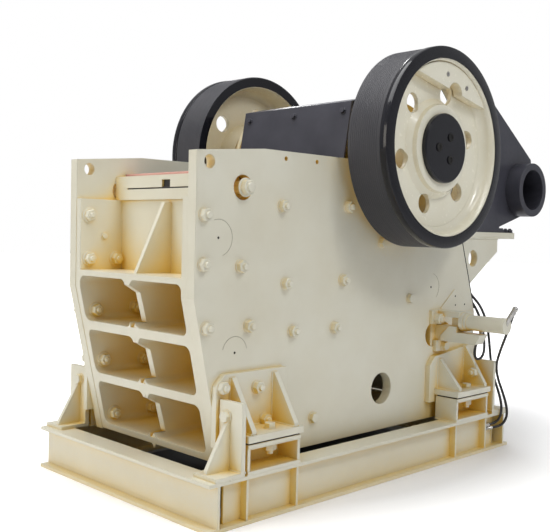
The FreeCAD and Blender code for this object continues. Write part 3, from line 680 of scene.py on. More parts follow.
@dataclass(frozen=True)
class RubberSkin:
    """Black rubber with a fabric imprint."""

    name: str
    light: Colour
    dark: Colour
    rough: float = 0.6
    weave: float = 420.0

    def make(self) -> Material:
        """Build the material."""
        surface = Surface(self.name, 0.002)
        w = surface.w
        place = w.object_place()
        cloud = w.span(w.noise(place, 22.0, 4), 0.3, 0.7)
        grain = w.add("TexVoronoi", {"Vector": place, "Scale": self.weave}).outputs["Distance"]
        rough = w.span(cloud, 0.0, 1.0, (self.rough - 0.12, self.rough + 0.12))
        return surface.finish(w.blend(cloud, self.dark, self.light), rough, grain, 0.25, 0.0006)


class Finish(Enum):
    """Every finish on the machine, by the record's material slot and its maker."""

    # Each enamel's third colour is the shade painted into its closed-in corners.
    CREAM = ("cream_paint", Enamel(
        "cream_enamel", enamel(222, 219, 202), enamel(216, 211, 191), enamel(238, 198, 66),
        enamel(236, 231, 208), gloss=0.36, coat=0.35, shade_depth=0.95))
    WHEEL_CREAM = ("wheel_cream", Enamel(
        "wheel_enamel", enamel(233, 229, 211), enamel(227, 222, 200), enamel(216, 180, 74),
        enamel(242, 238, 220), gloss=0.22, coat=0.6, shade_depth=0.6))
    MARK = ("cream_paint", Enamel(
        "scribed_line", enamel(150, 146, 128), enamel(128, 124, 108), enamel(90, 84, 66),
        enamel(160, 156, 140), gloss=0.5, coat=0.0))
    PRIMER = ("cream_paint", Enamel(
        "red_primer", enamel(222, 174, 164), enamel(208, 154, 144), enamel(150, 92, 80),
        enamel(222, 176, 164), gloss=0.6, coat=0.0))
    BLACK = ("black_paint", Enamel(
        "black_enamel", enamel(72, 72, 80), enamel(54, 54, 62), enamel(16, 16, 18),
        enamel(66, 68, 76), gloss=0.36, shine=0.25, coat=0.2, coat_roughness=0.14, bump=0.08))
    LIP = ("black_paint", Enamel(
        "lip_enamel", enamel(26, 26, 32), enamel(19, 19, 24), enamel(10, 10, 12),
        enamel(46, 46, 54), gloss=0.16, shine=0.2, coat=0.35, coat_roughness=0.04, bump=0.12, peel=40.0))
    BAND = ("black_paint", BandPaint("belt_face_paint", enamel(66, 65, 68), enamel(48, 48, 54)))
    MANGANESE = ("manganese_steel", Metal(
        "cast_manganese", enamel(120, 112, 104), enamel(74, 66, 60), enamel(96, 62, 40),
        stain_share=0.6, rough=0.55, pits=70.0, bump=0.5, metallic=0.7))
    STEEL = ("machined_steel", Metal(
        "machined_steel", enamel(190, 188, 184), enamel(150, 148, 146), enamel(120, 104, 84),
        stain_share=0.25, rough=0.3, pits=240.0, bump=0.08))
    RUBBER = ("black_rubber", RubberSkin("moulded_rubber", enamel(48, 47, 48), enamel(30, 29, 31)))
    HOSE = ("black_rubber", RubberSkin("hose_cover", enamel(44, 43, 46), enamel(26, 26, 28), rough=0.42,
                                       weave=700.0))
    ZINC = ("zinc_fitting", Metal(
        "zinc_plate", enamel(206, 204, 200), enamel(160, 158, 156), enamel(150, 140, 110),
        stain_share=0.2, rough=0.25, pits=300.0, bump=0.06))
    # Near-black finish that paints the shade inside holes and recesses.
    HOLE = ("black_paint", Metal(
        "painted_hole_shade", enamel(34, 32, 30), enamel(14, 13, 12), enamel(30, 24, 18),
        stain_share=0.4, rough=0.8, pits=200.0, metallic=0.0))

    def __init__(self, slot: str, maker: Enamel | Metal | BandPaint | RubberSkin) -> None:
        """Keep the record's slot and the maker of the material."""
        self.slot_name = slot
        self.maker = maker


class PaintShop:
    """Makes each finish once, and dresses new pieces and CAD nodes with them."""

    def __init__(self) -> None:
        """Build the shared effects first."""
        Effects()
        self.made: dict[Finish, Material] = {}

    def material(self, finish: Finish) -> Material:
        """The material of a finish, made on first use."""
        if finish not in self.made:
            self.made[finish] = finish.maker.make()
        return self.made[finish]

    def coat(self, piece: Object, finish: Finish, body: str = FRAME) -> Object:
        """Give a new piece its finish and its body.

        Args:
            piece: the piece.
            finish: what it is painted with or made of.
            body: the CAD body that it rides on.

        Returns:
            The piece.
        """
        piece.data.materials.clear()
        piece.data.materials.append(self.material(finish))
        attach(piece, body)
        LOG.info("%s on %s", piece.name, body)
        return piece

    def coat_node(self, finish: Finish, *names: str) -> None:
        """Give CAD nodes a finish."""
        for name in names:
            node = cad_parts[name]
            node.data.materials.clear()
            node.data.materials.append(self.material(finish))
            LOG.info("node %s wears %s", name, finish.name)

    def coat_pair(self, finish: Finish, *names: str) -> None:
        """Give the right and left CAD nodes of each name a finish."""
        for name in names:
            self.coat_node(finish, f"{name}_right", f"{name}_left")


class Head(Enum):
    """Kinds of fastener head."""

    NUT_ON_STUD = "nut_on_stud"
    CAP_SCREW = "cap_screw"
    SOCKET_SCREW = "socket_screw"


@dataclass(frozen=True)
class Fastener:
    """A bolt, nut or screw, modelled once and copied; sizes in millimetres."""

    head: Head = Head.NUT_ON_STUD
    across_flats: float = 46.0
    height: float = 24.0
    washer_r: float = 29.0
    washer_t: float = 4.0
    stud_r: float = 13.0
    stud_out: float = 13.0

    def pattern(self) -> Object:
        """Model the fastener about the origin, standing along +Z."""
        socket = self.head is Head.SOCKET_SCREW
        corner = self.across_flats / math.sqrt(3) * MM
        base = self.washer_t * MM
        top = base + self.height * MM
        body = Bench.rod("head", Vector((0, 0, base)), Vector((0, 0, top)), corner, 24 if socket else 6)
        if socket:
            sink = (0, 0, -self.height * 0.6 * MM)
            Bench.faces(body, lambda face: face.normal.z > 0.9)
            bpy.ops.mesh.inset(thickness=corner * 0.42)
            bpy.ops.mesh.extrude_region_move(TRANSFORM_OT_translate={"value": sink})
        else:
            Bench.faces(body, lambda face: abs(face.normal.z) > 0.9)
            bpy.ops.mesh.bevel(offset=corner * 0.1, segments=2, affect="EDGES")
        Bench.close()
        parts = [Bench.smooth(body, 20)]
        if self.washer_t:
            sunk = Vector((0, 0, -0.0005))
            washer = Bench.rod("washer", sunk, Vector((0, 0, base)), self.washer_r * MM, 28)
            parts.append(Bench.rounded(washer, 0.0012))
        if self.head is Head.NUT_ON_STUD:
            tip = Vector((0, 0, top + self.stud_out * MM))
            stud = Bench.rod("stud", Vector((0, 0, base)), tip, self.stud_r * MM, 20)
            parts.append(Bench.rounded(stud, 0.0025))
        return Bench.joined("fastener_pattern", parts)

    def fit(self, name: str, spots: Sequence[tuple[Vector, Vector]]) -> Object:
        """Set one fastener at each spot.

        Args:
            name: the joined piece's name.
            spots: seat and outward direction of each fastener.

        Returns:
            All the fasteners as one piece.
        """
        pattern = self.pattern()
        places = []
        for index, (seat, outward) in enumerate(spots):
            turn = Matrix.Rotation(0.7 + 1.9 * index, 4, "Z")
            stand = outward.normalized().to_track_quat("Z", "Y").to_matrix().to_4x4()
            places.append(Matrix.Translation(seat) @ stand @ turn)
        piece = Bench.copies(name, pattern, places)
        Bench.drop(pattern)
        return piece


FRAME_NUT = Fastener()
SMALL_NUT = Fastener(across_flats=30, height=15, washer_r=20, washer_t=3, stud_r=9, stud_out=7)
LUG_NUT = Fastener(across_flats=50, height=32, washer_r=31, washer_t=5, stud_r=15, stud_out=10)
CAP_BOLT = Fastener(head=Head.CAP_SCREW, across_flats=42, height=20, washer_r=27, washer_t=4)
SMALL_CAP = Fastener(head=Head.CAP_SCREW, across_flats=24, height=12, washer_r=17, washer_t=2.5)
SOCKET = Fastener(head=Head.SOCKET_SCREW, across_flats=34, height=5, washer_t=0)


@dataclass
class WeldBead:
    """A fillet weld with its ripples, laid along straight runs; sizes in millimetres."""

    radius: float = 5.0
    ripple: float = 7.0
    swell: float = 0.25

    def run(self, start: Vector, end: Vector) -> Object:
        """One straight bead.

        Args:
            start: first end.
            end: last end.

        Returns:
            The bead.
        """
        radius = self.radius / 1000
        bead = Bench.rod("bead", start, end, radius, 8)
        mesh = bead.data
        along = (end - start).normalized()
        cuts = max(3, int((end - start).length * 1000 / self.ripple * 2))
        pitch = (end - start).length / (cuts + 1)

        def lengthwise(edge: bpy.types.MeshEdge) -> bool:
            """Whether an edge runs along the bead."""
            step = mesh.vertices[edge.vertices[1]].co - mesh.vertices[edge.vertices[0]].co
            return abs(step.normalized().dot(along)) > 0.99

        Bench.edges(bead, lengthwise)
        bpy.ops.mesh.subdivide(number_cuts=cuts)
        Bench.close()
        Bench.points(bead, lambda vertex: round((vertex.co - start).dot(along) / pitch) % 2 == 1)
        bpy.ops.transform.shrink_fatten(value=radius * self.swell)
        Bench.close()
        return bead

    def lay(self, name: str, runs: Sequence[tuple[Spot, Spot]]) -> Object:
        """Beads on both sides of the machine, as one piece.

        Args:
            name: the piece's name.
            runs: first and last drawing place of each bead on the right side.

        Returns:
            The beads.
        """
        beads = [self.run(row(side * x0, y0, z0), row(side * x1, y1, z1))
                 for side in (RIGHT, LEFT) for (x0, y0, z0), (x1, y1, z1) in runs]
        return Bench.smooth(Bench.joined(name, beads), 50)


# ---------------------------------------------------------------- camera, hoses

@dataclass
class Studio:
    """Camera, floor, backdrop light and lamps."""

    place: Spot = (3.0414, -3.4192, 1.1643)
    azimuth: float = 45.22
    pitch: float = 2.33
    roll: float = 1.32
    lens: float = 55.42
    floor_half: float = 30.0

    def add_camera(self) -> None:
        """Aim the camera at the machine's front right corner."""
        az, pitch, roll = (math.radians(v) for v in (self.azimuth, self.pitch, self.roll))
        level = math.cos(pitch)
        ahead = Vector((-math.sin(az) * level, math.cos(az) * level, -math.sin(pitch)))
        across = Vector((math.cos(az), math.sin(az), 0))
        upward = across.cross(ahead)
        right = across * math.cos(roll) + upward * math.sin(roll)
        up = upward * math.cos(roll) - across * math.sin(roll)
        data = bpy.data.cameras.new("camera")
        data.lens = self.lens
        data.sensor_width = 36
        data.clip_end = 200
        camera = bpy.data.objects.new("camera", data)
        camera.matrix_world = Matrix((
            (right.x, up.x, -ahead.x, self.place[0]), (right.y, up.y, -ahead.y, self.place[1]),
            (right.z, up.z, -ahead.z, self.place[2]), (0, 0, 0, 1),
        ))
        bpy.context.scene.collection.objects.link(camera)
        bpy.context.scene.camera = camera

    def add_floor(self) -> None:
        """Lay the pale floor: it glows white to the camera away from the machine, the glow fading out
        close round it, and under the machine its colour is painted near-black as shade.
        """
        half = self.floor_half
        floor = Bench.box("studio_floor", Vector((-half, -half, -0.02)), Vector((half, half, 0)))
        material = bpy.data.materials.new("pale_floor")
        material.use_nodes = True
        w = Wiring(material.node_tree)
        shader = material.node_tree.nodes["Principled BSDF"]
        cloud = w.span(w.noise(w.object_place(), 0.8, 3), 0.3, 0.7)
        shader.inputs["Roughness"].default_value = 0.8
        parts = w.add("SeparateXYZ", {0: w.object_place()}).outputs
        far_x = w.math("DIVIDE", parts["X"], 1.3)
        far_y = w.math("DIVIDE", parts["Y"], 2.0)
        squares = w.math("ADD", w.math("MULTIPLY", far_x, far_x), w.math("MULTIPLY", far_y, far_y))
        clear = w.span(w.math("SQRT", squares), 0.62, 1.4)
        w.feed(shader.inputs["Emission Color"], w.blend(clear, (0.0, 0.0, 0.0), (1.0, 1.0, 1.0)))
        w.feed(shader.inputs["Emission Strength"], w.add("LightPath").outputs["Is Camera Ray"])
        # Painted shade: the floor's colour goes near-black in a box under the machine.
        beside = w.math("ABSOLUTE", w.math("DIVIDE", parts["X"], 0.6))
        along = w.math("ABSOLUTE", w.math("DIVIDE", w.math("ADD", parts["Y"], 0.25), 1.05))
        under = w.span(w.math("MAXIMUM", beside, along), 0.98, 0.8)
        pale = w.blend(cloud, (0.93, 0.93, 0.935), (0.9, 0.9, 0.905))
        w.feed(shader.inputs["Base Color"], w.blend(under, pale, (0.02, 0.02, 0.022)))
        floor.data.materials.append(material)

    def add_lamp(self, name: str, place: Spot, target: Spot, size: tuple[float, float], power: float,
                 shade: Colour = (1, 1, 1)) -> None:
        """Soft rectangular lamp aimed at a point.

        Args:
            name: the lamp's name.
            place: where it hangs.
            target: what it is aimed at.
            size: width and height.
            power: watts.
            shade: colour of its light.
        """
        data = bpy.data.lights.new(name, "AREA")
        data.shape = "RECTANGLE"
        data.size, data.size_y = size
        data.energy = power
        data.color = shade
        lamp = bpy.data.objects.new(name, data)
        lamp.location = place
        lamp.rotation_euler = (Vector(target) - Vector(place)).to_track_quat("-Z", "Y").to_euler()
        bpy.context.scene.collection.objects.link(lamp)

    def add_lamps(self) -> None:
        """Hang the lamps and light the backdrop."""
        middle = (0, 0, 0.9)
        self.add_lamp("key_softbox", (5.0, -0.4, 5.6), middle, (1.5, 1.5), 104)
        self.add_lamp("overhead_softbox", (-0.4, -1.6, 5.6), middle, (4.0, 4.0), 200)
        self.add_lamp("front_softbox", (-1.6, -6.2, 2.6), middle, (3.0, 2.4), 76, (1.0, 0.94, 0.83))
        self.add_lamp("back_strip", (-3.4, 2.6, 3.6), (0, 0, 1.5), (0.5, 3.0), 50)
        world = bpy.data.worlds.new("studio_air")
        world.use_nodes = True
        bpy.context.scene.world = world
        w = Wiring(world.node_tree)
        w.tree.nodes.clear()
        seen = w.add("Background", {"Color": (1.0, 1.0, 1.0), "Strength": 1.0})
        cast = w.add("Background", {"Color": (0.97, 0.98, 1.0), "Strength": 0.42})
        path = w.add("LightPath")
        mix = w.add("MixShader", {0: path.outputs["Is Camera Ray"], 1: cast.outputs[0],
                                  2: seen.outputs[0]})
        w.add("OutputWorld", {"Surface": mix.outputs[0]})
        bpy.context.scene.view_settings.view_transform = "Standard"


HOSE_POINTS: dict[str, list[Spot]] = {
    "cap": [
        (875, 1731, 777), (785, 1832, 664), (690, 1935, 557), (612, 2028, 461), (606, 2058, 384),
        (636, 2062, 312), (656, 2070, 248), (664, 2076, 190), (656, 2066, 146), (636, 2042, 118),
        (610, 2011, 112),
    ],
    "supply": [
        (401, 2036, 925), (401, 2036, 872), (434, 2048, 826), (484, 2054, 776), (522, 2052, 708),
        (546, 2048, 628), (559, 2045, 546), (570, 2044, 466), (588, 2046, 390), (618, 2044, 322),
        (638, 2048, 260), (643, 2050, 204), (636, 2040, 160), (618, 2018, 136), (602, 1988, 131),
    ],
    "rod": [
        (384, 2036, 925), (384, 2036, 872), (412, 2036, 822), (460, 2034, 774), (512, 2010, 714),
        (554, 1978, 648), (582, 1950, 586), (594, 1930, 536), (596, 1900, 504), (596, 1852, 502),
        (602, 1818, 534), (624, 1792, 580), (655, 1770, 628), (684, 1744, 664),
    ],
}


@dataclass
class HoseSet:
    """Hydraulic hoses of the wedge cylinders, with their fittings."""

    shop: PaintShop
    diameter: float = 0.014
    cap_length: float = 0.916
    rod_length: float = 0.777
    supply_length: float = 0.893
    nut_len: float = 14

    def hose(self, name: str, kind: str, side: int, length: float, far_end: str) -> Object:
        """One hose along its route.

        Args:
            name: the CAD hose that it stands for, less "hose_".
            kind: which route it follows.
            side: RIGHT or LEFT.
            length: real length in metres; not used.
            far_end: what it ends in; not used.

        Returns:
            The hose.
        """
        points = [row(side * x, y, z) for x, y, z in HOSE_POINTS[kind]]
        curve = bpy.data.curves.new(f"hose_line_{name}", "CURVE")
        curve.dimensions = "3D"
        curve.bevel_depth = self.diameter / 2
        curve.bevel_resolution = 4
        curve.resolution_u = 10
        curve.use_fill_caps = True
        spline = curve.splines.new("NURBS")
        spline.points.add(len(points) - 1)
        for knot, point in zip(spline.points, points):
            knot.co = (*point, 1)
        spline.order_u = 3
        spline.use_endpoint_u = True
        hose = bpy.data.objects.new(f"hose_line_{name}", curve)
        bpy.context.scene.collection.objects.link(hose)
        self.shop.coat(hose, Finish.HOSE)
        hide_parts(f"hose_{name}")
        return hose

    def hex_nuts(self) -> Object:
        """Swivel nuts at the elbows and at the block, in bright zinc."""
        parts = []
        for side in (RIGHT, LEFT):
            for kind, index, after, out in (("cap", 0, 1, 30), ("rod", -1, -2, 22), ("rod", 0, 1, 2)):
                line = [row(side * x, y, z) for x, y, z in HOSE_POINTS[kind]]
                end = line[index]
                back = (end - line[after]).normalized()
                far = end + back * (out + self.nut_len) / 1000
                nut = Bench.rod("swivel", end + back * out / 1000, far, 0.0145, 6)
                parts.append(Bench.rounded(nut, 0.0012))
        return Bench.joined("hose_swivel_nuts", parts)

    def build(self) -> None:
        """Lay the hoses and dress their fittings."""
        for side in (RIGHT, LEFT):
            place = SIDE_NAMES[side]
            self.hose(f"cap_{place}", "cap", side, self.cap_length, "object")
            self.hose(f"rod_{place}", "rod", side, self.rod_length, "fitting")
        self.hose("supply_right", "supply", RIGHT, self.supply_length, "object")
        self.shop.coat_node(Finish.ZINC, "hose_fittings")
        self.shop.coat(self.hex_nuts(), Finish.ZINC)
        packer = Bench.box("hose_block_packer", row(407, 2018, 928), row(421, 2050, 962))
        self.shop.coat(Bench.rounded(packer, 0.002), Finish.ZINC)


# ---------------------------------------------------------------- frame

@dataclass
class BaseFrame:
    """Welded base of I-beams with its pedestals, rubber pads and stops."""

    shop: PaintShop
    half: float = 630.0
    height: float = 196.0
    flange: float = 15.0
    web_x: float = 588.0
    front: tuple[float, float] = (-45.0, 61.0)
    rear: tuple[float, float] = (2036.0, 2142.0)
    pedestal_y: tuple[float, float] = (152.0, 1628.0)
    pedestal_x: float = 496.0
    pedestal_len: float = 300.0
    pedestal_top: float = 317.0
    stop_y: tuple[float, float] = (116.0, 1974.0)
    stop_t: float = 20.0
    pad_bolt_x: float = 575.0
    foot_flange_top: float = 353.0

    def welds(self) -> Object:
        """Beads at the beam corners, under the pedestals and at the stops."""
        top, half, near = self.height, self.half, self.pedestal_x
        runs = []
        for y in (self.front[1], self.rear[0]):
            runs.append(((half - 106, y, top), (half, y, top)))
            runs.append(((self.web_x, y, self.flange), (self.web_x, y, top - self.flange)))
        for y in self.pedestal_y:
            far = y + self.pedestal_len
            under = self.pedestal_top - 16
            runs += [((near, y, top), (half, y, top)), ((near, far, top), (half, far, top)),
                     ((near, y, top), (near, far, top))]
            for x in (near + 16, half - 6):
                runs.append(((x, y + 16, under), (x, far - 16, under)))
        for stop in self.stop_y:
            for y in (stop, stop + self.stop_t):
                runs.append(((494, y, top + 16), (half, y, top + 16)))
        return WeldBead(radius=4.5).lay("base_welds", runs)

    def nuts(self) -> Object:
        """Pad bolts' nuts inside the pedestals and heads on the feet's flanges."""
        middles = [y + self.pedestal_len / 2 + 20 for y in self.pedestal_y]
        below = [((self.pad_bolt_x, y, self.pedestal_top - 15), (0, 0, -1)) for y in middles]
        above = [((self.pad_bolt_x, y, self.foot_flange_top), (0, 0, 1)) for y in middles]
        kind = Fastener(across_flats=52, height=34, washer_r=36, stud_r=16, stud_out=16)
        nuts = kind.fit("nuts", both_sides(below))
        return Bench.joined("pad_bolts", [nuts, CAP_BOLT.fit("heads", both_sides(above))])

    def stop_bolts(self) -> Object:
        """Adjusting bolts through the stops."""
        front, rear = self.stop_y[0], self.stop_y[1] + self.stop_t
        spots = [((540, front, 424), (0, -1, 0)), ((540, rear, 424), (0, 1, 0))]
        return CAP_BOLT.fit("stop_bolts", both_sides(spots))

    def build(self) -> None:
        """Dress the base and add its small parts."""
        self.shop.coat_node(Finish.CREAM, "base_beam_front", "base_beam_rear", "stops_front", "stops_rear")
        self.shop.coat_pair(Finish.CREAM, "base_beam", "pedestal_front", "pedestal_rear", "foot_front",
                            "foot_rear")
        self.shop.coat_node(Finish.RUBBER, "rubber_pads")
        for piece in (self.welds(), self.nuts(), self.stop_bolts()):
            self.shop.coat(piece, Finish.CREAM)


@dataclass
class Feet:
    """Fixings and welds of the four bolted feet."""

    shop: PaintShop
    plate_x: float = 488.0
    front_bolts: tuple[tuple[float, float], ...] = ((128, 530), (324, 511), (370, 368))
    rib_bolt: Spot = (558.0, 1892.0, 424.0)
    flange_top: float = 353.0
    flanges: tuple[tuple[float, float], ...] = ((147, 462), (1623, 1938))
    ribs: tuple[tuple[float, float], ...] = ((174, 566), (416, 566), (1650, 511), (1892, 559))
    rib_t: float = 24.0
    rib_out: float = 626.0

    def bolts(self) -> Object:
        """Bolts through the upright plates and through the rear ribs."""
        spots = [((self.plate_x, y, z), (1, 0, 0)) for y, z in self.front_bolts]
        spots.append((self.rib_bolt, (0, -1, 0)))
        return FRAME_NUT.fit("foot_bolts", both_sides(spots))

    def welds(self) -> Object:
        """Beads where the ribs meet the flange and the upright plate."""
        plate, seat = self.plate_x, self.flange_top
        runs = []
        for y, top in self.ribs:
            for face in (y, y + self.rib_t):
                runs.append(((plate, face, seat), (self.rib_out, face, seat)))
                runs.append(((plate, face, seat), (plate, face, top)))
        for y0, y1 in self.flanges:
            runs.append(((plate, y0, seat), (plate, y1, seat)))
        return WeldBead(radius=5.0).lay("foot_welds", runs)

    def build(self) -> None:
        """Add the bolts and the beads."""
        for piece in (self.bolts(), self.welds()):
            self.shop.coat(piece, Finish.CREAM)


@dataclass
class SidePlates:
    """Side plates with their bolts, scribed discs and patch plates."""

    shop: PaintShop
    face_x: float = 460.0
    frame_bolts: tuple[tuple[float, float], ...] = (
        (43, 1225), (42, 1027), (64, 771), (243, 1017), (294, 768))
    liner_bolts: tuple[tuple[float, float], ...] = (
        (481, 1275), (510, 939), (560, 727), (915, 1287), (890, 945), (838, 726))
    other_bolts: tuple[tuple[float, float], ...] = ((705, 324), (1179, 1120), (1416, 838))
    discs: tuple[tuple[float, float, float, float, float], ...] = (
        (120, 1134, 75, -70, 110), (221, 660, 68, 10, 165), (1606, 891, 72, -50, 80))
    patch: tuple[tuple[float, float], ...] = ((1823, 872), (2012, 752), (1667, 752))
    patch_holes: tuple[tuple[float, float], ...] = ((1832, 835), (1835, 786), (1925, 786))
    gusset_foot: tuple[float, float] = (2030.0, 740.0)
    gusset_lean: float = 0.3653
    # Heights between which the gusset gaps' painted shade runs.
    gap_shade_z: tuple[float, float] = (760.0, 1150.0)

    def bolts(self, side: int) -> None:
        """Nuts of one side plate."""
        out = Vector((side, 0, 0))
        name = SIDE_NAMES[side]
        for label, kind, group in (
            ("frame", FRAME_NUT, self.frame_bolts), ("liner", FRAME_NUT, self.liner_bolts),
            ("plate", CAP_BOLT, self.other_bolts),
        ):
            spots = [(row(side * self.face_x, y, z), out) for y, z in group]
            self.shop.coat(kind.fit(f"{label}_nuts_{name}", spots), Finish.CREAM)

    @staticmethod
    def worn_off(ring: Object, centre: Vector, first: float, last: float) -> Object:
        """Take away the part of a scribed ring that the paint covers.

        Args:
            ring: the whole ring.
            centre: its middle.
            first: first degree of the part that stays, from the rear upwards.
            last: last degree of the part that stays.

        Returns:
            The arc that stays.
        """
        def covered(face: bpy.types.MeshPolygon) -> bool:
            """Whether a face lies outside the arc."""
            angle = math.degrees(math.atan2(face.center.z - centre.z, face.center.y - centre.y))
            return not first <= angle <= last
        Bench.faces(ring, covered)
        bpy.ops.mesh.delete(type="FACE")
        Bench.close()
        return ring

    def scribed(self, side: int) -> None:
        """Scribed rings with a drilled centre; the centres and the patch plate's holes are near-black
        discs of painted shade.
        """
        rings, holes = [], []
        x = self.face_x
        for y, z, radius, first, last in self.discs:
            bpy.ops.mesh.primitive_torus_add(
                major_segments=96, minor_segments=6, major_radius=radius / 1000, minor_radius=0.0008,
                location=row(side * (x + 0.2), y, z), rotation=(0, math.pi / 2, 0))
            rings.append(self.worn_off(Bench.named("ring"), row(side * x, y, z), first, last))
            hole = Bench.rod("hole", row(side * (x - 2), y, z), row(side * (x + 0.5), y, z), 0.0055, 20)
            holes.append(Bench.rounded(hole, 0.0003))
        name = SIDE_NAMES[side]
        self.shop.coat(Bench.smooth(Bench.joined(f"scribed_rings_{name}", rings)), Finish.MARK)
        for y, z in self.patch_holes:
            hole = Bench.rod("hole", row(side * x, y, z), row(side * (x + 4.4), y, z), 0.005, 20)
            holes.append(Bench.rounded(hole, 0.0003))
        # Near-black discs: painted shade of the drilled holes.
        self.shop.coat(Bench.joined(f"drilled_holes_{name}", holes), Finish.HOLE)

    def patch_plate(self, side: int) -> None:
        """Thin triangular plate welded over the rear frame's bolts."""
        outline = [row(side * self.face_x, y, z) for y, z in self.patch]
        plate = Bench.plate(f"patch_plate_{SIDE_NAMES[side]}", outline, Vector((side * 0.004, 0, 0)))
        self.shop.coat(Bench.rounded(plate, 0.001), Finish.CREAM)

    def seam(self) -> Object:
        """Seams of the motor bracket's gussets and of the bracket's lug."""
        x = self.face_x
        runs = [((x, 1598, 768), (x, 1717, 768)), ((x, 1640, 551), (x, 1732, 551))]
        return WeldBead(radius=4.0).lay("side_seams", runs)

    def gusset_seals(self) -> Object:
        """Black lines in the gaps between the side plates and the motor bracket's gussets: painted shade
        of the gaps.
        """
        foot_y, foot_z = self.gusset_foot
        parts = []
        for side in (RIGHT, LEFT):
            low, high = (row(side * self.face_x, foot_y - (z - foot_z) * self.gusset_lean + 3, z)
                         for z in self.gap_shade_z)
            parts.append(Bench.rod("seal", low, high, 0.0028, 12))
        return Bench.smooth(Bench.joined("gusset_seals", parts))

    def build(self) -> None:
        """Dress the plates and add their small parts."""
        self.shop.coat_pair(Finish.CREAM, "side_plate")
        for side in (RIGHT, LEFT):
            self.bolts(side)
            self.scribed(side)
            self.patch_plate(side)
        self.shop.coat(self.seam(), Finish.CREAM)
        # Painted shade of the gusset gaps, in the black rubber finish.
        self.shop.coat(self.gusset_seals(), Finish.RUBBER)


@dataclass
class JawCastings:
    """Front and rear castings, the clamp of the fixed jaw, the jaw dies and the liners."""

    shop: PaintShop
    flange_x: float = 375.0
    front_bolts: tuple[tuple[float, float], ...] = (
        (91, 777), (314, 781), (139, 539), (367, 523), (201, 274), (421, 275), (46, 1221), (49, 1019),
        (196, 1018))
    rear_bolts: tuple[tuple[float, float], ...] = (
        (1830, 905), (1930, 830), (1830, 640), (1960, 640), (1830, 415), (1960, 415))
    small_bolts: tuple[tuple[float, float], ...] = ((129, 1124),)
    jaw_top: tuple[float, float, float] = (262.0, 338.0, 1423.0)
    rod_end: Spot = (474.0, 249.0, 1343.0)

    def flange_nuts(self) -> Object:
        """Nuts inside the castings' side flanges."""
        spots = [((self.flange_x, y, z), (-1, 0, 0)) for y, z in self.front_bolts + self.rear_bolts]
        kind = Fastener(across_flats=48, height=24, washer_r=36, stud_out=9)
        return kind.fit("flange_nuts", both_sides(spots))

    def small_nuts(self) -> Object:
        """Locating screws in the bay."""
        spots = [((self.flange_x, y, z), (-1, 0, 0)) for y, z in self.small_bolts]
        return SMALL_CAP.fit("bay_screws", both_sides(spots))

    def web_lugs(self) -> Object:
        """Cast lugs where the middle web meets the ribs."""
        parts = []
        for z, y, reach in ((710, 46, 26), (460, 103, 26), (217, 158, 22)):
            outline = [row(-24, y, z), row(0, y + 4, z - reach - 18), row(24, y, z),
                       row(0, y - 2, z + reach + 12)]
            parts.append(Bench.plate("lug", outline, Vector((0, 0.05, 0))))
        lugs = Bench.joined("web_lugs", parts)
        return Bench.rounded(lugs, 0.005, 3)

    def primer_edge(self) -> Object:
        """Primer left showing along the fixed jaw's top edge."""
        y0, y1, z = self.jaw_top
        strip = Bench.box("primer_edge", row(-399, y0, z - 12), row(399, y1, z + 1.2))
        return Bench.rounded(strip, 0.001)

    def slot_shade_strips(self) -> Object:
        """Black strips in the clamp beam's slot and notch: painted shade of their deep insides."""
        slot = Bench.box("slot", row(-314, 218, 1341), row(409, 240, 1356))
        notch = Bench.box("notch", row(-45, 226, 1348), row(13, 240, 1386))
        return Bench.rounded(Bench.joined("clamp_packing", [slot, notch]), 0.0008)

    def clamp_nuts(self) -> Object:
        """Nuts on the clamp rod's ends, seen through the side plates' holes."""
        kind = Fastener(across_flats=56, height=28, washer_r=40, stud_r=20, stud_out=10)
        return kind.fit("clamp_nuts", both_sides([(self.rod_end, (1, 0, 0))]))

    def build(self) -> None:
        """Dress the castings and add their small parts."""
        self.shop.coat_node(Finish.CREAM, "front_frame", "rear_frame", "clamp_beam")
        self.shop.coat_node(Finish.MANGANESE, "fixed_jaw_die", "moving_jaw_die", "toggle_plate")
        self.shop.coat_pair(Finish.MANGANESE, "cheek_liner")
        self.shop.coat_node(Finish.STEEL, "toggle_seat")
        self.shop.coat_node(Finish.CREAM, "clamp_rod", "toggle_wedges")
        for piece in (self.flange_nuts(), self.small_nuts(), self.clamp_nuts(), self.web_lugs()):
            self.shop.coat(piece, Finish.CREAM)
        self.shop.coat(self.primer_edge(), Finish.PRIMER)
        # Painted shade in the clamp beam's slot, in the black rubber finish.
        self.shop.coat(self.slot_shade_strips(), Finish.RUBBER)


# ---------------------------------------------------------------- wheels

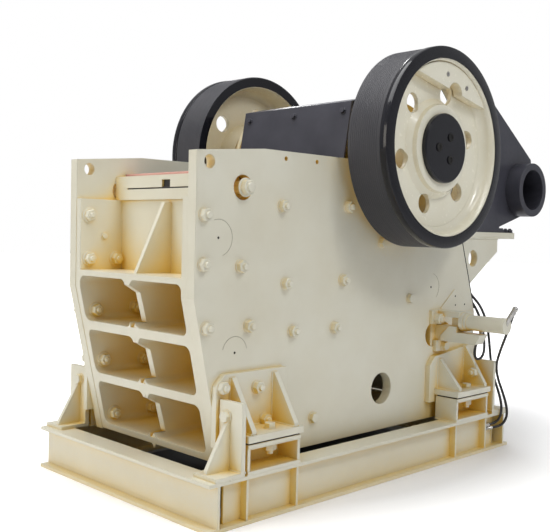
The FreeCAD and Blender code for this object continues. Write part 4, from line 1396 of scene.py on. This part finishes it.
@dataclass
class BeltWheel:
    """One belt wheel: cream rim with a black belt face, cap screws and balance weight."""

    shop: PaintShop
    side: int
    axle: tuple[float, float] = (1291.0, 1577.0)
    x_in: float = 0.527
    x_out: float = 0.755
    radius: float = 0.472
    rim_t: float = 0.060
    lip_w: float = 0.039
    lip_rise: float = 0.003
    paint_t: float = 0.005
    grooves: int = 14
    groove_depth: float = 0.0012
    cap_screw_r: float = 62.0
    cap_face: float = 743.0
    weight_places: tuple[Spot, ...] = ((733, 1298, 1928), (733, 1460, 1882))
    bearing_bolt_r: float = 213.0
    bearing_face: float = 486.0

    def centre(self) -> Vector:
        """Middle of the axle, at the machine's middle plane."""
        return row(0, *self.axle)

    def flip(self, profile: Sequence[tuple[float, float]]) -> list[tuple[float, float]]:
        """Outline on this wheel's side of the machine."""
        return [(self.side * x, radius) for x, radius in profile]

    def belt_face(self) -> None:
        """Black belt face with shallow grooves, and the lip round its outer end."""
        a, b, r = self.x_in, self.x_out, self.radius
        inner = r - self.rim_t
        lip = b - self.lip_w
        skin = r - self.paint_t
        profile = [(a, inner + 0.006), (a, r - 0.005), (a + 0.005, r)]
        pitch = (lip - a - 0.03) / self.grooves
        for index in range(self.grooves):
            x = a + 0.018 + pitch * index
            depth = self.groove_depth
            profile += [(x, r), (x + 0.0012, r - depth), (x + 0.0028, r - depth), (x + 0.004, r)]
        top = r + self.lip_rise
        profile += [
            (lip - 0.003, r), (lip - 0.002, r - 0.002), (lip, r - 0.002), (lip + 0.001, top - 0.001),
            (lip + 0.003, top), (b - 0.007, top), (b - 0.002, top - 0.002), (b, r - 0.003),
            (b, inner + 0.006), (b - 0.004, inner + 0.006), (b - 0.004, skin), (a + 0.004, skin),
            (a + 0.004, inner + 0.006),
        ]
        face = Bench.turned(f"belt_face_{SIDE_NAMES[self.side]}", self.flip(profile), self.centre(), 160)
        self.shop.coat(face, Finish.BAND, ROTOR)
        face.data.materials.append(self.shop.material(Finish.LIP))
        for polygon in face.data.polygons:
            x = abs(polygon.center.x)
            if x > lip + 0.0005 or x < a + 0.002:
                polygon.material_index = 1

    def rim(self) -> None:
        """Cream inner rim with its dished sides."""
        a, b = self.x_in + 0.004, self.x_out - 0.004
        r = self.radius - self.paint_t
        inner = self.radius - self.rim_t
        web_out, web_in = 0.683, 0.655
        joint = inner - 0.040
        dish = [(0.002, 0.030), (0.009, 0.019), (0.020, 0.011), (0.034, 0.006)]
        profile = [
            (a, r), (b, r), (b, inner + 0.007), (b - 0.001, inner + 0.003), (b - 0.005, inner),
            *((web_out + out, inner - fall) for out, fall in reversed(dish)), (web_out, joint),
            (web_in, joint), *((web_in - out, inner - fall) for out, fall in dish),
            (a + 0.005, inner), (a + 0.001, inner + 0.003), (a, inner + 0.007),
        ]
        rim = Bench.turned(f"wheel_rim_{SIDE_NAMES[self.side]}", self.flip(profile), self.centre(), 160)
        self.shop.coat(rim, Finish.WHEEL_CREAM, ROTOR)
        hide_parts(f"flywheel_rim_{SIDE_NAMES[self.side]}")

    def fasten(self, name: str, kind: Fastener, places: Sequence[Spot], finish: Finish,
               body: str) -> None:
        """Set fasteners that face outwards on this wheel's side.

        Args:
            name: the piece's name, less the side.
            kind: the fastener.
            places: their seats, as on the right side.
            finish: what they are painted with or made of.
            body: the CAD body that they ride on.
        """
        out = Vector((self.side, 0, 0))
        spots = [(row(self.side * x, y, z), out) for x, y, z in places]
        self.shop.coat(kind.fit(f"{name}_{SIDE_NAMES[self.side]}", spots), finish, body)

    def screws(self) -> None:
        """Socket screws in the hub cap, sunk screws in the weight, bolts of the bearing housing."""
        thirds = [math.radians(degrees) for degrees in (60, 180, 300)]
        tenths = [TURN * (index + 0.5) / 10 for index in range(10)]
        sunk = Fastener(head=Head.SOCKET_SCREW, across_flats=20, height=3, washer_t=0)
        # The hub cap's socket screws take the near-black hole finish: partly their own black, partly
        # painted shade of their sockets.
        self.fasten("cap_screws", SOCKET, circle(self.cap_face, self.axle, self.cap_screw_r, thirds),
                    Finish.HOLE, ROTOR)
        self.fasten("weight_screws", sunk, self.weight_places, Finish.STEEL, ROTOR)
        self.fasten("bearing_bolts", SMALL_CAP,
                    circle(self.bearing_face, self.axle, self.bearing_bolt_r, tenths),
                    Finish.CREAM, FRAME)

    def build(self) -> None:
        """Model and dress the wheel."""
        name = SIDE_NAMES[self.side]
        self.shop.coat_node(Finish.WHEEL_CREAM, f"flywheel_hub_{name}", f"counterweight_{name}")
        self.shop.coat_node(Finish.CREAM, f"bearing_housing_{name}")
        self.rim()
        self.belt_face()
        self.screws()


@dataclass
class Pitman:
    """Swing jaw's casting, barrel and cover, and the eccentric shaft."""

    shop: PaintShop
    screws: tuple[Spot, ...] = ((330, 1016, 1755), (0, 1016, 1755), (-330, 1016, 1755))

    def cover_screws(self) -> Object:
        """Screws along the cover's bend."""
        lean = Vector((0, -0.97, 0.16))
        spots = [(row(x, y - 1.5, z), lean) for x, y, z in self.screws]
        return SMALL_CAP.fit("cover_screws", spots)

    def build(self) -> None:
        """Dress the nodes and add the screws."""
        self.shop.coat_node(Finish.BLACK, "pitman_guard")
        self.shop.coat_node(Finish.LIP, "hub_caps")
        self.shop.coat_node(Finish.CREAM, "pitman", "pitman_barrel")
        self.shop.coat_node(Finish.STEEL, "eccentric_shaft")
        self.shop.coat(self.cover_screws(), Finish.BLACK, SWING_JAW)


# ---------------------------------------------------------------- rear gear

@dataclass
class WedgeGear:
    """Wedge cylinders with their brackets and fixings."""

    shop: PaintShop
    axis: tuple[float, float] = (1695.0, 715.0)
    lug_nut: Spot = (478.0, 1633.0, 726.0)
    guide_nut: Spot = (482.0, 1705.0, 576.0)

    def nuts(self) -> None:
        """Large nut on the lug and smaller one on the guide."""
        for name, kind, seat in (
            ("lug_nuts", LUG_NUT, self.lug_nut), ("guide_nuts", CAP_BOLT, self.guide_nut),
        ):
            self.shop.coat(kind.fit(name, both_sides([(seat, (1, 0, 0))])), Finish.CREAM)

    def flange_bolts(self) -> None:
        """Bolts round the cylinder's flange."""
        quarters = [math.radians(degrees) for degrees in (45, 135, 225, 315)]
        spots = [(seat, (-1, 0, 0)) for seat in circle(606, self.axis, 35, quarters)]
        kind = Fastener(head=Head.CAP_SCREW, across_flats=13, height=8, washer_r=10, washer_t=2)
        self.shop.coat(kind.fit("cylinder_bolts", both_sides(spots)), Finish.STEEL)

    def build(self) -> None:
        """Dress the nodes and add the small parts."""
        self.shop.coat_pair(Finish.CREAM, "cylinder_bracket", "wedge_cylinder")
        self.nuts()
        self.flange_bolts()


@dataclass
class MotorMount:
    """Motor bracket behind the crusher, and the black motor base on it."""

    shop: PaintShop
    shelf_top: float = 1188.0
    shelf_low: float = 1152.0
    bolt_y: tuple[float, ...] = (2080.0, 2200.0, 2300.0)
    corner_bolts: tuple[tuple[float, float], ...] = ((440, 2335), (440, 2376), (440, 2424))

    def base_bolts(self) -> Object:
        """Bolts through the motor base's sole plate."""
        spots = [((395, y, self.shelf_top + 26), (0, 0, 1)) for y in self.bolt_y]
        return CAP_BOLT.fit("motor_base_bolts", both_sides(spots))

    def corner_nuts(self) -> Object:
        """Small nuts along the shelf's rear corners."""
        spots = [((x, y, self.shelf_top), (0, 0, 1)) for x, y in self.corner_bolts]
        return SMALL_NUT.fit("shelf_nuts", both_sides(spots))

    def welds(self) -> Object:
        """Beads under the shelf."""
        z = self.shelf_low
        runs = [((x, 1890, z), (x, 2254, z)) for x in (419, 459)]
        return WeldBead(radius=6.0).lay("shelf_welds", runs)

    def build(self) -> None:
        """Dress the nodes and add the small parts."""
        self.shop.coat_node(Finish.CREAM, "motor_bracket")
        self.shop.coat_node(Finish.BLACK, "motor_base", "motor_tube")
        self.shop.coat(self.base_bolts(), Finish.BLACK)
        self.shop.coat(self.corner_nuts(), Finish.BLACK)
        self.shop.coat(self.welds(), Finish.CREAM)


def main() -> None:
    """Build the camera, the hoses and then every sub-assembly in order."""
    logging.basicConfig(level=logging.INFO, format="%(name)s: %(message)s")
    studio = Studio()
    studio.add_camera()
    shop = PaintShop()
    assemblies = [
        HoseSet(shop), BaseFrame(shop), Feet(shop), SidePlates(shop), JawCastings(shop),
        BeltWheel(shop, RIGHT), BeltWheel(shop, LEFT), Pitman(shop), WedgeGear(shop), MotorMount(shop),
    ]
    for assembly in assemblies:
        LOG.info("building %s", type(assembly).__name__)
        assembly.build()
    studio.add_floor()
    studio.add_lamps()


if __name__ == "__main__":
    main()
